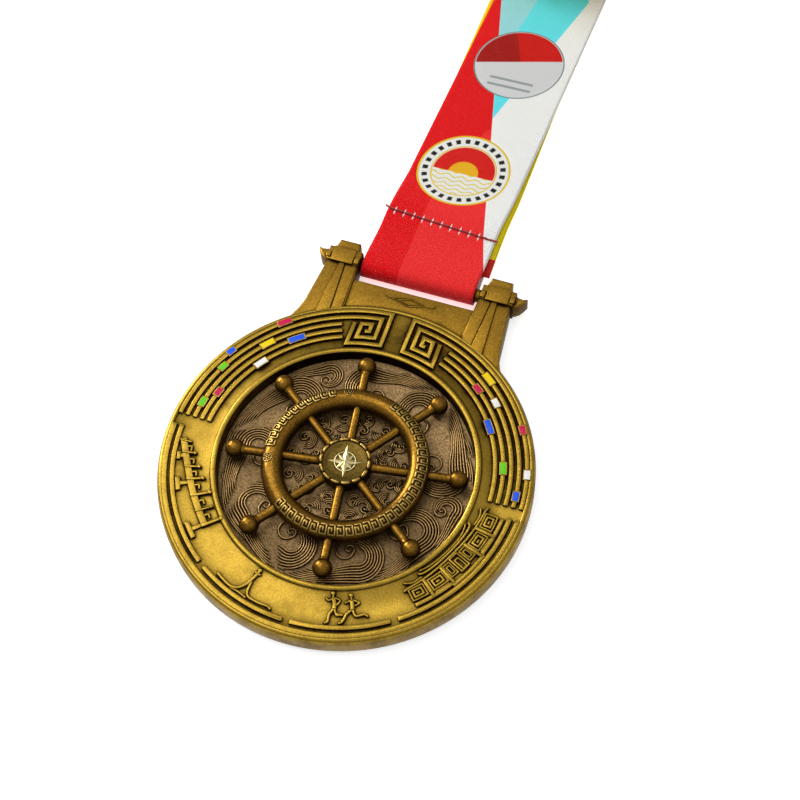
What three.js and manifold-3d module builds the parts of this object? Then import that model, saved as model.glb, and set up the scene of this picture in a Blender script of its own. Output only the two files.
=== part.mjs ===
// Sports finisher medal: a die-cast disc with a gate-shaped hanger, a ship's wheel that spins in
// the disc's recess, soft-enamel inlays, and a printed neck ribbon sewn round the hanger's bar.
// Millimetres. The medal lies on its back on Z = 0, +Y points to the ribbon, and the origin is
// the centre of the disc's back face.
import * as THREE from "three";
import { mergeVertices } from "three/addons/utils/BufferGeometryUtils.js";
import Module from "manifold-3d";

const wasm = await Module();
wasm.setup();

// Clearances
const SEAT_GAP = 0.05; // round a piece that is fixed in its seat
const RUN_GAP = 0.3; // between pieces that move past each other
const OVERLAP = 0.3; // how far features of one casting run into each other

// Disc
const DISC_RADIUS = 37.5;
const DISC_THICKNESS = 5;
const DISC_BEVEL = 0.9;
const RIM_WIDTH = 0.75;
const BAND_WIDTH = 9.95; // from the rim to the bead
const BAND_DEPTH = 0.4; // the band lies this far below the rim, and its lines rise back to it
const BEAD_WIDTH = 1.1; // raised ring round the recess
const FLOOR_THICKNESS = 2;
const BACK_GROOVE_INSET = 3; // from the disc's edge to the groove's inner side
const BACK_GROOVE_WIDTH = 0.8;
const BACK_GROOVE_DEPTH = 0.4;

// Raised lines of the band
const STAFF_INSET = 0.95; // from the rim to the middle of the outermost line
const STAFF_PITCH = 1.57;
const STAFF_START = 1.4; // degrees from the disc's horizontal axis to the ends of the lines
const STAFF_STOP = 69; // degrees at which the three inner lines stop, short of the fret
const LINE_WIDTH = 0.85;
const BORDER_INSET = 0.8; // from the rim to the middle of the lower half's continuous line
const BORDER_PITCH = 1.6; // from there to the lower half's broken line
const BORDER_START = 182.6;
const BORDER_BREAKS = [236.3, 270.8, 305.3];
const BORDER_BREAK_ANGLE = 2.4;

// Squared spiral fret at the inner end of each staff: upright sides at x, and cross pieces this
// far inside the outermost line
const FRET_SIDES = [2.4, 4.1, 5.7, 6.6, 7.8, 9.3];
const FRET_DROPS = [7.9, 6.4, 4.9, 3.15];
const FRET_OPENING = 0.35; // how far the fret's last side stops below its first cross piece

// Enamel inlays: staff line counted from the outside, first and last angle in degrees, colour
const ENAMELS = [
  { name: "enamel_right_blue_low", line: 2, from: 3.8, to: 7, colour: "#1f5fd6" },
  { name: "enamel_right_white_low", line: 1, from: 12, to: 15, colour: "#f4f2ea" },
  { name: "enamel_right_green", line: 4, from: 13.2, to: 17.8, colour: "#63c814" },
  { name: "enamel_right_pink_low", line: 1, from: 28, to: 31, colour: "#c4215a" },
  { name: "enamel_right_blue_high", line: 5, from: 30.6, to: 36.6, colour: "#1f5fd6" },
  { name: "enamel_right_white_high", line: 3, from: 40.4, to: 43.8, colour: "#f4f2ea" },
  { name: "enamel_right_pink_high", line: 4, from: 48.6, to: 52.2, colour: "#c4215a" },
  { name: "enamel_right_yellow", line: 2, from: 49.2, to: 54, colour: "#f2dc14" },
  { name: "enamel_left_blue_high", line: 4, from: 125.6, to: 131.8, colour: "#1f5fd6" },
  { name: "enamel_left_pink_high", line: 1, from: 128.2, to: 132.8, colour: "#c4215a" },
  { name: "enamel_left_yellow", line: 3, from: 136.8, to: 141.8, colour: "#f2dc14" },
  { name: "enamel_left_white", line: 5, from: 143.2, to: 148.4, colour: "#f4f2ea" },
  { name: "enamel_left_blue_low", line: 1, from: 149.6, to: 152.4, colour: "#1f5fd6" },
  { name: "enamel_left_green_high", line: 2, from: 155.4, to: 158.4, colour: "#63c814" },
  { name: "enamel_left_pink_low", line: 4, from: 164.2, to: 167.6, colour: "#c4215a" },
  { name: "enamel_left_green_low", line: 3, from: 170.4, to: 173.8, colour: "#63c814" },
];
const ENAMEL_WIDTH = 1.05;
const ENAMEL_DEPTH = 0.45;
const ENAMEL_SINK = 0.05; // the enamel lies this far below its frame
const FRAME_WALL = 0.25;

// Gate-shaped hanger
const RIBBON_SIDE_GAP = 0.9; // between the ribbon's edge and the post
const SLOT_RISE = 4.5; // from the disc's edge to the slot
const BAR_RISE = 4.9; // from the slot's lower side to the bar's middle
const BAR_RADIUS = 1.4;
const LOOP_LIFT = 0.2; // the ribbon's loop clears the ground by this
const CAPITAL_DROP = 2; // from the bar's middle down to the capital's lower side
const CAPITAL_HEIGHT = 3.6;
const CAPITAL_WIDTH = 7.4;
const CAPITAL_PROUD = 0.4; // how far the capital stands above the disc's face
const CAP_BLOCK_HEIGHT = 2.2;
const CAP_BLOCK_INSET = 0.7;
const EAVE_REACH = 2.5; // how far the pointed eave stands out beyond its capital
const EAVE_BEND = 1.12; // the eave's lower side turns up this far out
const EAVE_BEND_RISE = 0.9;
const EAVE_TIP_DROP = 0.7; // below the capital's upper side
const EAVE_ROOT_DROP = 0.4;
const POST_SUNK = 0.2; // how far the post's face lies below the disc's
const POST_OUTER_INSET = 0.5; // the post's top corner lies this far inside the capital's
const POST_FLARE = 1.1; // how much further out the post's foot stands than its top
const POST_INNER_FLARE = 0.7;
const POST_FOOT_DROP = 3.5; // from the disc's top edge down to the end of the post's straight side
const FOOT_SWEEP_DROP = 7.23; // from there down to where the sweep below it meets the disc
const FOOT_SWEEP_BULGE = [0.3, 3.5]; // outwards and down to the corner that the sweep rounds
const POST_ROOT = 2; // how far the post runs into the disc
const POST_STRIP_HEIGHT = 0.3; // raised strip down the middle of each post
const STRIP_TOP_WIDTH = 1.2;
const STRIP_FOOT_WIDTH = 2.7;
const BEAM_SUNK = 0.5; // how far the beam's face lies below the disc's
const GATE_BEVEL = 0.4;

// Wheel, its pivot and its cap
const WHEEL_REST_ANGLE = 8.5;
const WHEEL_RISE = 2.7; // from the recess floor to the middle of the ring and spokes
const RING_TO_BALL = 7.9; // from the ring's middle out to a ball's
const RING_HALF_WIDTH = 2.2;
const RING_FLAT = 1.85; // the ring's underside is cut off flat this far below its middle
const SPOKES = 8;
const SPOKE_RADIUS = 0.95;
const BALL_RADIUS = 1.95;
const BALL_GAP = 1.25; // between a ball and the recess wall
const BALL_FACETS = [14, 10];
const HUB_RADIUS = 5.2;
const HUB_WEB = 1.3; // hub metal that runs on the post
const POST_RADIUS = 2;
const RIVET_SHANK_RADIUS = 1;
const RIVET_HEAD_OVERHANG = 1.2; // beyond the post
const RIVET_HEAD_THICKNESS = 0.5;
const RIVET_HEAD_TAPER = 0.3;
const RIVET_SHANK_LENGTH = 2.2;
const WASHER_INSET = 1.2; // the washer is this much smaller than the hub all round
const WASHER_THICKNESS = 0.7;
const CAP_INSET = 0.7; // from the hub's side to the cap's edge
const CAP_THICKNESS = 0.5;
const CAP_DISH = [0.2, 0.25]; // how far the cap's face sinks half-way in, and at its middle
const CAP_RIM_WIDTH = 0.7;
const BEZEL_HEIGHT = 0.35; // the hub's edge stands this far above the cap

// Neck ribbon
const RIBBON_WIDTH = 25;
const RIBBON_THICKNESS = 0.6;
const LAYER_GAP = 0.2;
const TAIL_LENGTH = 420; // from the bar to the fold that lies behind the neck
const SEAM_DISTANCE = 15; // from the bar to the seam
const SEAM_BASE = 1; // height of the lowest layer's middle at the seam
const SEAM_FLAT = 2.5; // the layers lie level this far each side of the seam
const LOOP_END = 4; // the loop's end lies this far past the seam
const BACK_END = 5.5; // the back tail's end lies this far from the bar
const SETTLE_LENGTH = 11.5; // over which the tails come down to the ground after the seam
const ROLL_DISTANCE = 100.1; // from the bar to where the tails leave the ground for the roll
const ROLL_SLACK = 0.3; // left between one turn's two layers and the next
const ROLL_CORE_RADIUS = 3.5;
const RIBBON_LEAN = 3.2; // degrees that the tails lean towards +X
const LOOP_SHIFT = -0.4;
const BACK_SHIFT_SEAM = 1.3; // sideways offset of the back tail at the seam
const BACK_SHIFT_FAR = -1.8; // and where the roll begins
const STITCH_LENGTH = 2.2;
const SEAM_MARGIN = 1.2; // the least from the ribbon's edge to the outermost needle hole
const SEAM_SLANT = -4.3; // degrees
const THREAD_SIZE = 0.4;
const THREAD_TAIL = 2.4; // thread left beyond the last needle hole at each end

const BRASS = new THREE.MeshStandardMaterial({ color: "#b8912f", roughness: 0.38, metalness: 1 });
const DARK_BRASS = new THREE.MeshStandardMaterial({ color: "#6e5424", roughness: 0.5, metalness: 1 });
const SATIN = new THREE.MeshStandardMaterial({ color: "#e01520", roughness: 0.45, metalness: 0 });
const THREAD = new THREE.MeshStandardMaterial({ color: "#8c0f18", roughness: 0.7, metalness: 0 });

const radians = THREE.MathUtils.degToRad;
const degrees = THREE.MathUtils.radToDeg;

// ---- Helpers that turn three.js geometry into solids and back ----

function toSolid(geometry) {
  const plain = geometry.clone();
  plain.deleteAttribute("normal");
  plain.deleteAttribute("uv");
  const merged = mergeVertices(plain, 1e-4);
  const corners = merged.index.array;
  const kept = [];
  for (let i = 0; i < corners.length; i += 3) {
    const [a, b, c] = [corners[i], corners[i + 1], corners[i + 2]];
    if (a !== b && b !== c && c !== a) kept.push(a, b, c);
  }
  return new wasm.Manifold(
    new wasm.Mesh({
      numProp: 3,
      vertProperties: merged.attributes.position.array,
      triVerts: new Uint32Array(kept),
    }),
  );
}

function toMesh(name, solid, material) {
  const { vertProperties, triVerts } = solid.getMesh();
  const geometry = new THREE.BufferGeometry();
  geometry.setAttribute("position", new THREE.BufferAttribute(vertProperties, 3));
  geometry.setIndex(new THREE.BufferAttribute(triVerts, 1));
  geometry.computeVertexNormals();
  const mesh = new THREE.Mesh(geometry, material);
  mesh.name = name;
  return mesh;
}

function join(solids) {
  return solids.reduce((whole, next) => whole.add(next));
}

// A straight prism of an outline in the XY plane, from height low to height high.
function prism(points, low, high) {
  const geometry = new THREE.ExtrudeGeometry(new THREE.Shape(points), {
    depth: high - low,
    bevelEnabled: false,
  });
  return toSolid(geometry.translate(0, 0, low));
}

// The same, with its top edge bevelled.
function bevelledPrism(points, low, high, bevel) {
  const geometry = new THREE.ExtrudeGeometry(new THREE.Shape(points), {
    depth: high - low - 2 * bevel,
    bevelThickness: bevel,
    bevelSize: bevel,
    bevelOffset: -bevel,
    bevelSegments: 1,
  });
  return toSolid(geometry.translate(0, 0, low + bevel));
}

// A solid of revolution about Z from [radius, height] points, listed upwards along the outside.
function turned(profile, segments) {
  const points = profile.map(([radius, height]) => new THREE.Vector2(radius, height));
  return toSolid(new THREE.LatheGeometry(points, segments).rotateX(Math.PI / 2));
}

function arcPoints(radius, from, to, step = 5) {
  const steps = Math.max(1, Math.ceil(Math.abs(to - from) / step));
  return Array.from({ length: steps + 1 }, (_, i) => {
    const angle = radians(from + ((to - from) * i) / steps);
    return new THREE.Vector2(radius * Math.cos(angle), radius * Math.sin(angle));
  });
}

function ringSector(inner, outer, from, to) {
  return [...arcPoints(outer, from, to), ...arcPoints(inner, to, from)];
}

// The outline of a line of constant width along open points, with mitred corners.
function stroke(points, width) {
  const sides = points.map((point, i) => {
    const before = points[Math.max(i - 1, 0)];
    const after = points[Math.min(i + 1, points.length - 1)];
    const into = point.clone().sub(before);
    const out = after.clone().sub(point);
    if (i === 0) into.copy(out);
    if (i === points.length - 1) out.copy(into);
    into.normalize();
    out.normalize();
    const along = into.clone().add(out).normalize();
    const reach = width / 2 / along.dot(into);
    return new THREE.Vector2(-along.y, along.x).multiplyScalar(reach);
  });
  const left = points.map((point, i) => point.clone().add(sides[i]));
  const right = points.map((point, i) => point.clone().sub(sides[i]));
  return [...left, ...right.reverse()];
}

function mirrored(points, side) {
  return points.map((point) => new THREE.Vector2(side * point.x, point.y));
}

// ---- Medal body: one zinc casting ----

const RIM_INNER_RADIUS = DISC_RADIUS - RIM_WIDTH;
const BEAD_OUTER_RADIUS = RIM_INNER_RADIUS - BAND_WIDTH;
const RECESS_RADIUS = BEAD_OUTER_RADIUS - BEAD_WIDTH;
const STAFF_OUTER_RADIUS = RIM_INNER_RADIUS - STAFF_INSET;
const BORDER_RADIUS = RIM_INNER_RADIUS - BORDER_INSET;
const BAND_Z = DISC_THICKNESS - BAND_DEPTH;

function disc() {
  const bead = BEAD_OUTER_RADIUS;
  const chamfer = BAND_DEPTH / 2;
  return turned(
    [
      [0, 0],
      [DISC_RADIUS - DISC_BEVEL, 0],
      [DISC_RADIUS, DISC_BEVEL],
      [DISC_RADIUS, DISC_THICKNESS - DISC_BEVEL],
      [DISC_RADIUS - DISC_BEVEL / 2, DISC_THICKNESS],
      [RIM_INNER_RADIUS, DISC_THICKNESS],
      [RIM_INNER_RADIUS - chamfer, BAND_Z],
      [bead + chamfer, BAND_Z],
      [bead - chamfer, DISC_THICKNESS],
      [RECESS_RADIUS + chamfer, DISC_THICKNESS],
      [RECESS_RADIUS, DISC_THICKNESS - chamfer],
      [RECESS_RADIUS, FLOOR_THICKNESS],
      [0, FLOOR_THICKNESS],
    ],
    90,
  );
}

function fretPoint(x, radius) {
  return new THREE.Vector2(x, Math.sqrt(radius * radius - x * x));
}

// Follows the circle of the radius from one x to another.
function fretCross(radius, fromX, toX) {
  const angle = (x) => degrees(Math.acos(x / radius));
  return arcPoints(radius, angle(fromX), angle(toX), 3);
}

// The two outer lines of the right-hand staff, each running on into its arm of the fret.
function staffAndFret() {
  const [x0, x1, x2, x3, x4, x5] = FRET_SIDES;
  const [r0, r1, r2, r3] = FRET_DROPS.map((drop) => STAFF_OUTER_RADIUS - drop);
  const second = STAFF_OUTER_RADIUS - STAFF_PITCH;
  const start = (radius) => radius * Math.cos(radians(STAFF_START));
  const outer = [
    ...fretCross(STAFF_OUTER_RADIUS, start(STAFF_OUTER_RADIUS), x0),
    ...fretCross(r0, x0, x5),
    fretPoint(x5, second - LINE_WIDTH - FRET_OPENING),
  ];
  const inner = [
    ...fretCross(second, start(second), x1),
    ...fretCross(r1, x1, x4),
    ...fretCross(r3, x4, x2),
    ...fretCross(r2, x2, x3),
  ];
  return [outer, inner];
}

function bandLines() {
  const lines = [];
  for (const side of [1, -1]) {
    for (const points of staffAndFret()) lines.push(mirrored(stroke(points, LINE_WIDTH), side));
    for (const line of [2, 3, 4]) {
      const points = arcPoints(STAFF_OUTER_RADIUS - line * STAFF_PITCH, STAFF_START, STAFF_STOP);
      lines.push(mirrored(stroke(points, LINE_WIDTH), side));
    }
  }
  const borderEnd = 540 - BORDER_START; // its mirror image, counted on past a full turn
  lines.push(stroke(arcPoints(BORDER_RADIUS, BORDER_START, borderEnd), LINE_WIDTH));
  const half = BORDER_BREAK_ANGLE / 2;
  const starts = [BORDER_START, ...BORDER_BREAKS.map((angle) => angle + half)];
  const ends = [...BORDER_BREAKS.map((angle) => angle - half), borderEnd];
  starts.forEach((from, i) => {
    lines.push(stroke(arcPoints(BORDER_RADIUS - BORDER_PITCH, from, ends[i]), LINE_WIDTH));
  });
  return lines.map((outline) => prism(outline, BAND_Z - OVERLAP, DISC_THICKNESS));
}

// A block round an inlay's place: grown outwards all round, from height low to height high.
function enamelBlock({ line, from, to }, grow, low, high) {
  const radius = STAFF_OUTER_RADIUS - (line - 1) * STAFF_PITCH;
  const half = ENAMEL_WIDTH / 2 + grow;
  const turn = degrees(grow / radius);
  return prism(ringSector(radius - half, radius + half, from - turn, to + turn), low, high);
}

function enamelFrames() {
  return ENAMELS.map((inlay) => enamelBlock(inlay, FRAME_WALL, BAND_Z - OVERLAP, DISC_THICKNESS));
}

function enamelPockets() {
  const low = DISC_THICKNESS - ENAMEL_DEPTH;
  return ENAMELS.map((inlay) => enamelBlock(inlay, 0, low, DISC_THICKNESS + OVERLAP));
}

const SLOT_HALF_WIDTH = RIBBON_WIDTH / 2 + RIBBON_SIDE_GAP;
const SLOT_LOW_Y = DISC_RADIUS + SLOT_RISE;
const BAR_Y = SLOT_LOW_Y + BAR_RISE;
const BAR_Z = BAR_RADIUS + RUN_GAP + RIBBON_THICKNESS + LOOP_LIFT;
const CAPITAL_LOW_Y = BAR_Y - CAPITAL_DROP;
const CAPITAL_HIGH_Y = CAPITAL_LOW_Y + CAPITAL_HEIGHT;
const CAPITAL_THICKNESS = DISC_THICKNESS + CAPITAL_PROUD;
const POST_THICKNESS = DISC_THICKNESS - POST_SUNK;

// One side of the gate, drawn on the right and mirrored for the left.
function gatePost(side) {
  const inner = SLOT_HALF_WIDTH;
  const outer = inner + CAPITAL_WIDTH;
  const topOuter = outer - POST_OUTER_INSET;
  const footOuter = topOuter + POST_FLARE;
  const middle = (inner + topOuter) / 2;
  const onDisc = DISC_RADIUS - DISC_BEVEL;
  const topY = CAPITAL_LOW_Y + OVERLAP;
  const straightY = DISC_RADIUS - POST_FOOT_DROP;
  const landingY = straightY - FOOT_SWEEP_DROP;
  const rootY = Math.sqrt(onDisc ** 2 - inner ** 2) - POST_ROOT;
  const at = (x, y) => new THREE.Vector2(x, y);
  const [bulgeOut, bulgeDown] = FOOT_SWEEP_BULGE;
  const sweep = new THREE.QuadraticBezierCurve(
    at(footOuter, straightY),
    at(footOuter + bulgeOut, straightY - bulgeDown),
    at(Math.sqrt(onDisc ** 2 - landingY ** 2), landingY),
  ).getPoints(5);
  const innerFoot = inner - POST_INNER_FLARE;
  const innerSide = [at(inner, topY), at(innerFoot, rootY), at(innerFoot, landingY)];
  const post = [...innerSide, ...sweep.reverse(), at(topOuter, topY)];
  const strip = [
    at(middle - STRIP_TOP_WIDTH / 2, topY),
    at(middle - STRIP_FOOT_WIDTH / 2, straightY),
    at(middle + STRIP_FOOT_WIDTH / 2, straightY),
    at(middle + STRIP_TOP_WIDTH / 2, topY),
  ];
  const capital = [
    at(inner, CAPITAL_LOW_Y),
    at(outer, CAPITAL_LOW_Y),
    at(outer, CAPITAL_HIGH_Y),
    at(inner, CAPITAL_HIGH_Y),
  ];
  const eave = [
    at(outer - OVERLAP, CAPITAL_LOW_Y),
    at(outer + EAVE_BEND, CAPITAL_LOW_Y + EAVE_BEND_RISE),
    at(outer + EAVE_REACH, CAPITAL_HIGH_Y - EAVE_TIP_DROP),
    at(outer - OVERLAP, CAPITAL_HIGH_Y - EAVE_ROOT_DROP),
  ];
  const blockTop = CAPITAL_HIGH_Y + CAP_BLOCK_HEIGHT;
  const capBlock = [
    at(inner + CAP_BLOCK_INSET, CAPITAL_HIGH_Y - OVERLAP),
    at(outer - CAP_BLOCK_INSET, CAPITAL_HIGH_Y - OVERLAP),
    at(outer - 2 * CAP_BLOCK_INSET, blockTop),
    at(inner + 2 * CAP_BLOCK_INSET, blockTop),
  ];
  return join([
    bevelledPrism(mirrored(post, side), 0, POST_THICKNESS, GATE_BEVEL),
    prism(mirrored(strip, side), POST_THICKNESS - OVERLAP, POST_THICKNESS + POST_STRIP_HEIGHT),
    bevelledPrism(mirrored(capital, side), 0, CAPITAL_THICKNESS, GATE_BEVEL),
    prism(mirrored(eave, side), GATE_BEVEL, CAPITAL_THICKNESS - 2 * GATE_BEVEL),
    bevelledPrism(mirrored(capBlock, side), 0, CAPITAL_THICKNESS - GATE_BEVEL, GATE_BEVEL),
  ]);
}

function gate() {
  const beamFoot = BEAD_OUTER_RADIUS + BEAD_WIDTH + LINE_WIDTH;
  const beamHalf = SLOT_HALF_WIDTH + OVERLAP;
  const beam = [
    new THREE.Vector2(-beamHalf, beamFoot),
    new THREE.Vector2(beamHalf, beamFoot),
    new THREE.Vector2(beamHalf, SLOT_LOW_Y),
    new THREE.Vector2(-beamHalf, SLOT_LOW_Y),
  ];
  const bar = new THREE.CylinderGeometry(BAR_RADIUS, BAR_RADIUS, 2 * beamHalf, 32);
  bar.rotateZ(Math.PI / 2).translate(0, BAR_Y, BAR_Z);
  return join([
    bevelledPrism(beam, 0, DISC_THICKNESS - BEAM_SUNK, GATE_BEVEL),
    toSolid(bar),
    gatePost(1),
    gatePost(-1),
  ]);
}

// Heights of the wheel's stack, from the recess floor up.
const WASHER_LOW = FLOOR_THICKNESS + SEAT_GAP;
const HUB_LOW = WASHER_LOW + WASHER_THICKNESS + RUN_GAP;
const WEB_HIGH = HUB_LOW + HUB_WEB;
const POST_HIGH = WEB_HIGH + RUN_GAP;
const RIVET_HEAD_LOW = POST_HIGH + SEAT_GAP;
const RIVET_HEAD_HIGH = RIVET_HEAD_LOW + RIVET_HEAD_THICKNESS;
const CAP_SEAT = RIVET_HEAD_HIGH + RUN_GAP;
const CAP_LOW = CAP_SEAT + SEAT_GAP;
const HUB_HIGH = CAP_LOW + CAP_THICKNESS + BEZEL_HEIGHT;

function pivotPost() {
  const hole = RIVET_SHANK_RADIUS + SEAT_GAP;
  const holeLow = POST_HIGH - RIVET_SHANK_LENGTH - RUN_GAP;
  return turned(
    [
      [0, FLOOR_THICKNESS - OVERLAP],
      [POST_RADIUS, FLOOR_THICKNESS - OVERLAP],
      [POST_RADIUS, POST_HIGH],
      [hole, POST_HIGH],
      [hole, holeLow],
      [0, holeLow],
    ],
    32,
  );
}

function backGroove() {
  const inner = DISC_RADIUS - BACK_GROOVE_INSET;
  const outer = inner + BACK_GROOVE_WIDTH;
  return turned(
    [
      [inner, -OVERLAP],
      [outer, -OVERLAP],
      [outer, BACK_GROOVE_DEPTH],
      [inner, BACK_GROOVE_DEPTH],
      [inner, -OVERLAP],
    ],
    72,
  );
}

function medalBody() {
  // The gate runs into the disc, so what it would leave inside the staff is cut off at the rim.
  const insideRim = turned(
    [
      [0, -OVERLAP],
      [RIM_INNER_RADIUS, -OVERLAP],
      [RIM_INNER_RADIUS, 2 * DISC_THICKNESS],
      [0, 2 * DISC_THICKNESS],
    ],
    72,
  );
  const gateOutside = gate().subtract(insideRim);
  const casting = join([disc(), gateOutside, pivotPost(), ...bandLines(), ...enamelFrames()]);
  return casting.subtract(join(enamelPockets())).subtract(backGroove());
}

// ---- Soft-enamel inlays ----

function enamelInlay(inlay) {
  const low = DISC_THICKNESS - ENAMEL_DEPTH + SEAT_GAP;
  const material = new THREE.MeshStandardMaterial({ color: inlay.colour, roughness: 0.2 });
  const fill = enamelBlock(inlay, -SEAT_GAP, low, DISC_THICKNESS - ENAMEL_SINK);
  return toMesh(inlay.name, fill, material);
}

// ---- Wheel ----

const WHEEL_Z = FLOOR_THICKNESS + WHEEL_RISE;
const BALL_CIRCLE_RADIUS = RECESS_RADIUS - BALL_GAP - BALL_RADIUS;
const RING_RADIUS = BALL_CIRCLE_RADIUS - RING_TO_BALL;
const CAP_RADIUS = HUB_RADIUS - CAP_INSET;
const RIVET_HEAD_RADIUS = POST_RADIUS + RIVET_HEAD_OVERHANG;

function wheelRing() {
  const section = [];
  const sides = 14;
  for (let i = 0; i <= sides; i++) {
    const angle = (2 * Math.PI * i) / sides;
    const height = Math.max(RING_HALF_WIDTH * Math.sin(angle), -RING_FLAT);
    section.push([RING_RADIUS + RING_HALF_WIDTH * Math.cos(angle), WHEEL_Z + height]);
  }
  return turned(section, 64);
}

function spokeAndBall(index) {
  const root = POST_RADIUS / 2; // hidden in the hub, whose hollow cuts it away
  const length = BALL_CIRCLE_RADIUS - root;
  const spoke = new THREE.CylinderGeometry(SPOKE_RADIUS, SPOKE_RADIUS, length, 10);
  spoke.rotateZ(Math.PI / 2).translate(root + length / 2, 0, WHEEL_Z);
  const ball = new THREE.SphereGeometry(BALL_RADIUS, ...BALL_FACETS);
  ball.translate(BALL_CIRCLE_RADIUS, 0, WHEEL_Z);
  const angle = (2 * Math.PI * index) / SPOKES;
  return toSolid(spoke.rotateZ(angle)).add(toSolid(ball.rotateZ(angle)));
}

function hub() {
  return turned(
    [
      [0, HUB_LOW],
      [HUB_RADIUS, HUB_LOW],
      [HUB_RADIUS, HUB_HIGH],
      [0, HUB_HIGH],
    ],
    48,
  );
}

// Everything that is open inside the hub: the bore, the rivet head's well and the cap's seat.
function hubHollow() {
  const bore = POST_RADIUS + RUN_GAP;
  const well = RIVET_HEAD_RADIUS + RUN_GAP;
  const seat = CAP_RADIUS + SEAT_GAP;
  return turned(
    [
      [0, HUB_LOW - OVERLAP],
      [bore, HUB_LOW - OVERLAP],
      [bore, WEB_HIGH],
      [well, WEB_HIGH],
      [well, CAP_SEAT],
      [seat, CAP_SEAT],
      [seat, HUB_HIGH + OVERLAP],
      [0, HUB_HIGH + OVERLAP],
    ],
    48,
  );
}

function shipWheel() {
  const spokes = Array.from({ length: SPOKES }, (_, index) => spokeAndBall(index));
  return join([wheelRing(), hub(), ...spokes]).subtract(hubHollow());
}

function hubCap() {
  return turned(
    [
      [0, CAP_LOW],
      [CAP_RADIUS, CAP_LOW],
      [CAP_RADIUS, CAP_LOW + CAP_THICKNESS],
      [CAP_RADIUS - CAP_RIM_WIDTH, CAP_LOW + CAP_THICKNESS],
      [CAP_RADIUS / 2, CAP_LOW + CAP_THICKNESS - CAP_DISH[0]],
      [0, CAP_LOW + CAP_THICKNESS - CAP_DISH[1]],
    ],
    36,
  );
}

function pivotRivet() {
  return turned(
    [
      [0, POST_HIGH - RIVET_SHANK_LENGTH],
      [RIVET_SHANK_RADIUS, POST_HIGH - RIVET_SHANK_LENGTH],
      [RIVET_SHANK_RADIUS, RIVET_HEAD_LOW],
      [RIVET_HEAD_RADIUS, RIVET_HEAD_LOW],
      [RIVET_HEAD_RADIUS - RIVET_HEAD_TAPER, RIVET_HEAD_HIGH],
      [0, RIVET_HEAD_HIGH],
    ],
    32,
  );
}

function spacerWasher() {
  const inner = POST_RADIUS + RUN_GAP;
  const outer = HUB_RADIUS - WASHER_INSET;
  return turned(
    [
      [inner, WASHER_LOW],
      [outer, WASHER_LOW],
      [outer, WASHER_LOW + WASHER_THICKNESS],
      [inner, WASHER_LOW + WASHER_THICKNESS],
      [inner, WASHER_LOW],
    ],
    32,
  );
}

// ---- Neck ribbon: one strip, looped round the bar, sewn, and rolled up at its far end ----

const SEAM_Y = BAR_Y + SEAM_DISTANCE;
const ROLL_Y = BAR_Y + ROLL_DISTANCE;
const LAYER_STEP = RIBBON_THICKNESS + LAYER_GAP;
const ROLL_PITCH = 2 * LAYER_STEP + ROLL_SLACK;
const EYE_RADIUS = BAR_RADIUS + RUN_GAP + RIBBON_THICKNESS / 2; // middle of the strip round the bar
const ROLLED_LENGTH = TAIL_LENGTH - ROLL_DISTANCE;
const ROLL_RADIUS = Math.sqrt(ROLL_CORE_RADIUS ** 2 + (ROLLED_LENGTH * ROLL_PITCH) / Math.PI);

// A smooth step down or up between two level stretches. Points are [y, z, back share].
function settle(fromY, fromZ, toY, toZ, back) {
  const steps = 8;
  return Array.from({ length: steps + 1 }, (_, i) => {
    const t = i / steps;
    const ease = t * t * (3 - 2 * t);
    return [fromY + (toY - fromY) * t, fromZ + (toZ - fromZ) * ease, back];
  });
}

// One tail's turns in the roll. offset is -1 for the inner layer and 1 for the outer one.
function rollTurns(offset) {
  const turns = (ROLL_RADIUS - ROLL_CORE_RADIUS) / ROLL_PITCH;
  const steps = Math.ceil(turns * 30);
  const centreZ = ROLL_RADIUS + (LAYER_STEP + RIBBON_THICKNESS) / 2;
  return Array.from({ length: steps + 1 }, (_, i) => {
    const turn = (turns * i) / steps;
    const radius = ROLL_RADIUS - ROLL_PITCH * turn + (offset * LAYER_STEP) / 2;
    const angle = 2 * Math.PI * turn - Math.PI / 2;
    const meeting = (1 - Math.min(1, turns - turn)) / 2;
    return [
      ROLL_Y + radius * Math.cos(angle),
      centreZ + radius * Math.sin(angle),
      offset > 0 ? 1 - meeting : meeting,
    ];
  });
}

// The half turn at the roll's core, where the strip lay behind the neck.
function neckFold(inner, outer) {
  const middle = [(inner[0] + outer[0]) / 2, (inner[1] + outer[1]) / 2];
  const out = [(outer[0] - inner[0]) / 2, (outer[1] - inner[1]) / 2];
  return [1, 2, 3].map((quarter) => {
    const angle = (Math.PI * quarter) / 4;
    const radial = -Math.cos(angle);
    const along = Math.sin(angle);
    return [
      middle[0] + radial * out[0] - along * out[1],
      middle[1] + radial * out[1] + along * out[0],
      0.5,
    ];
  });
}

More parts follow.
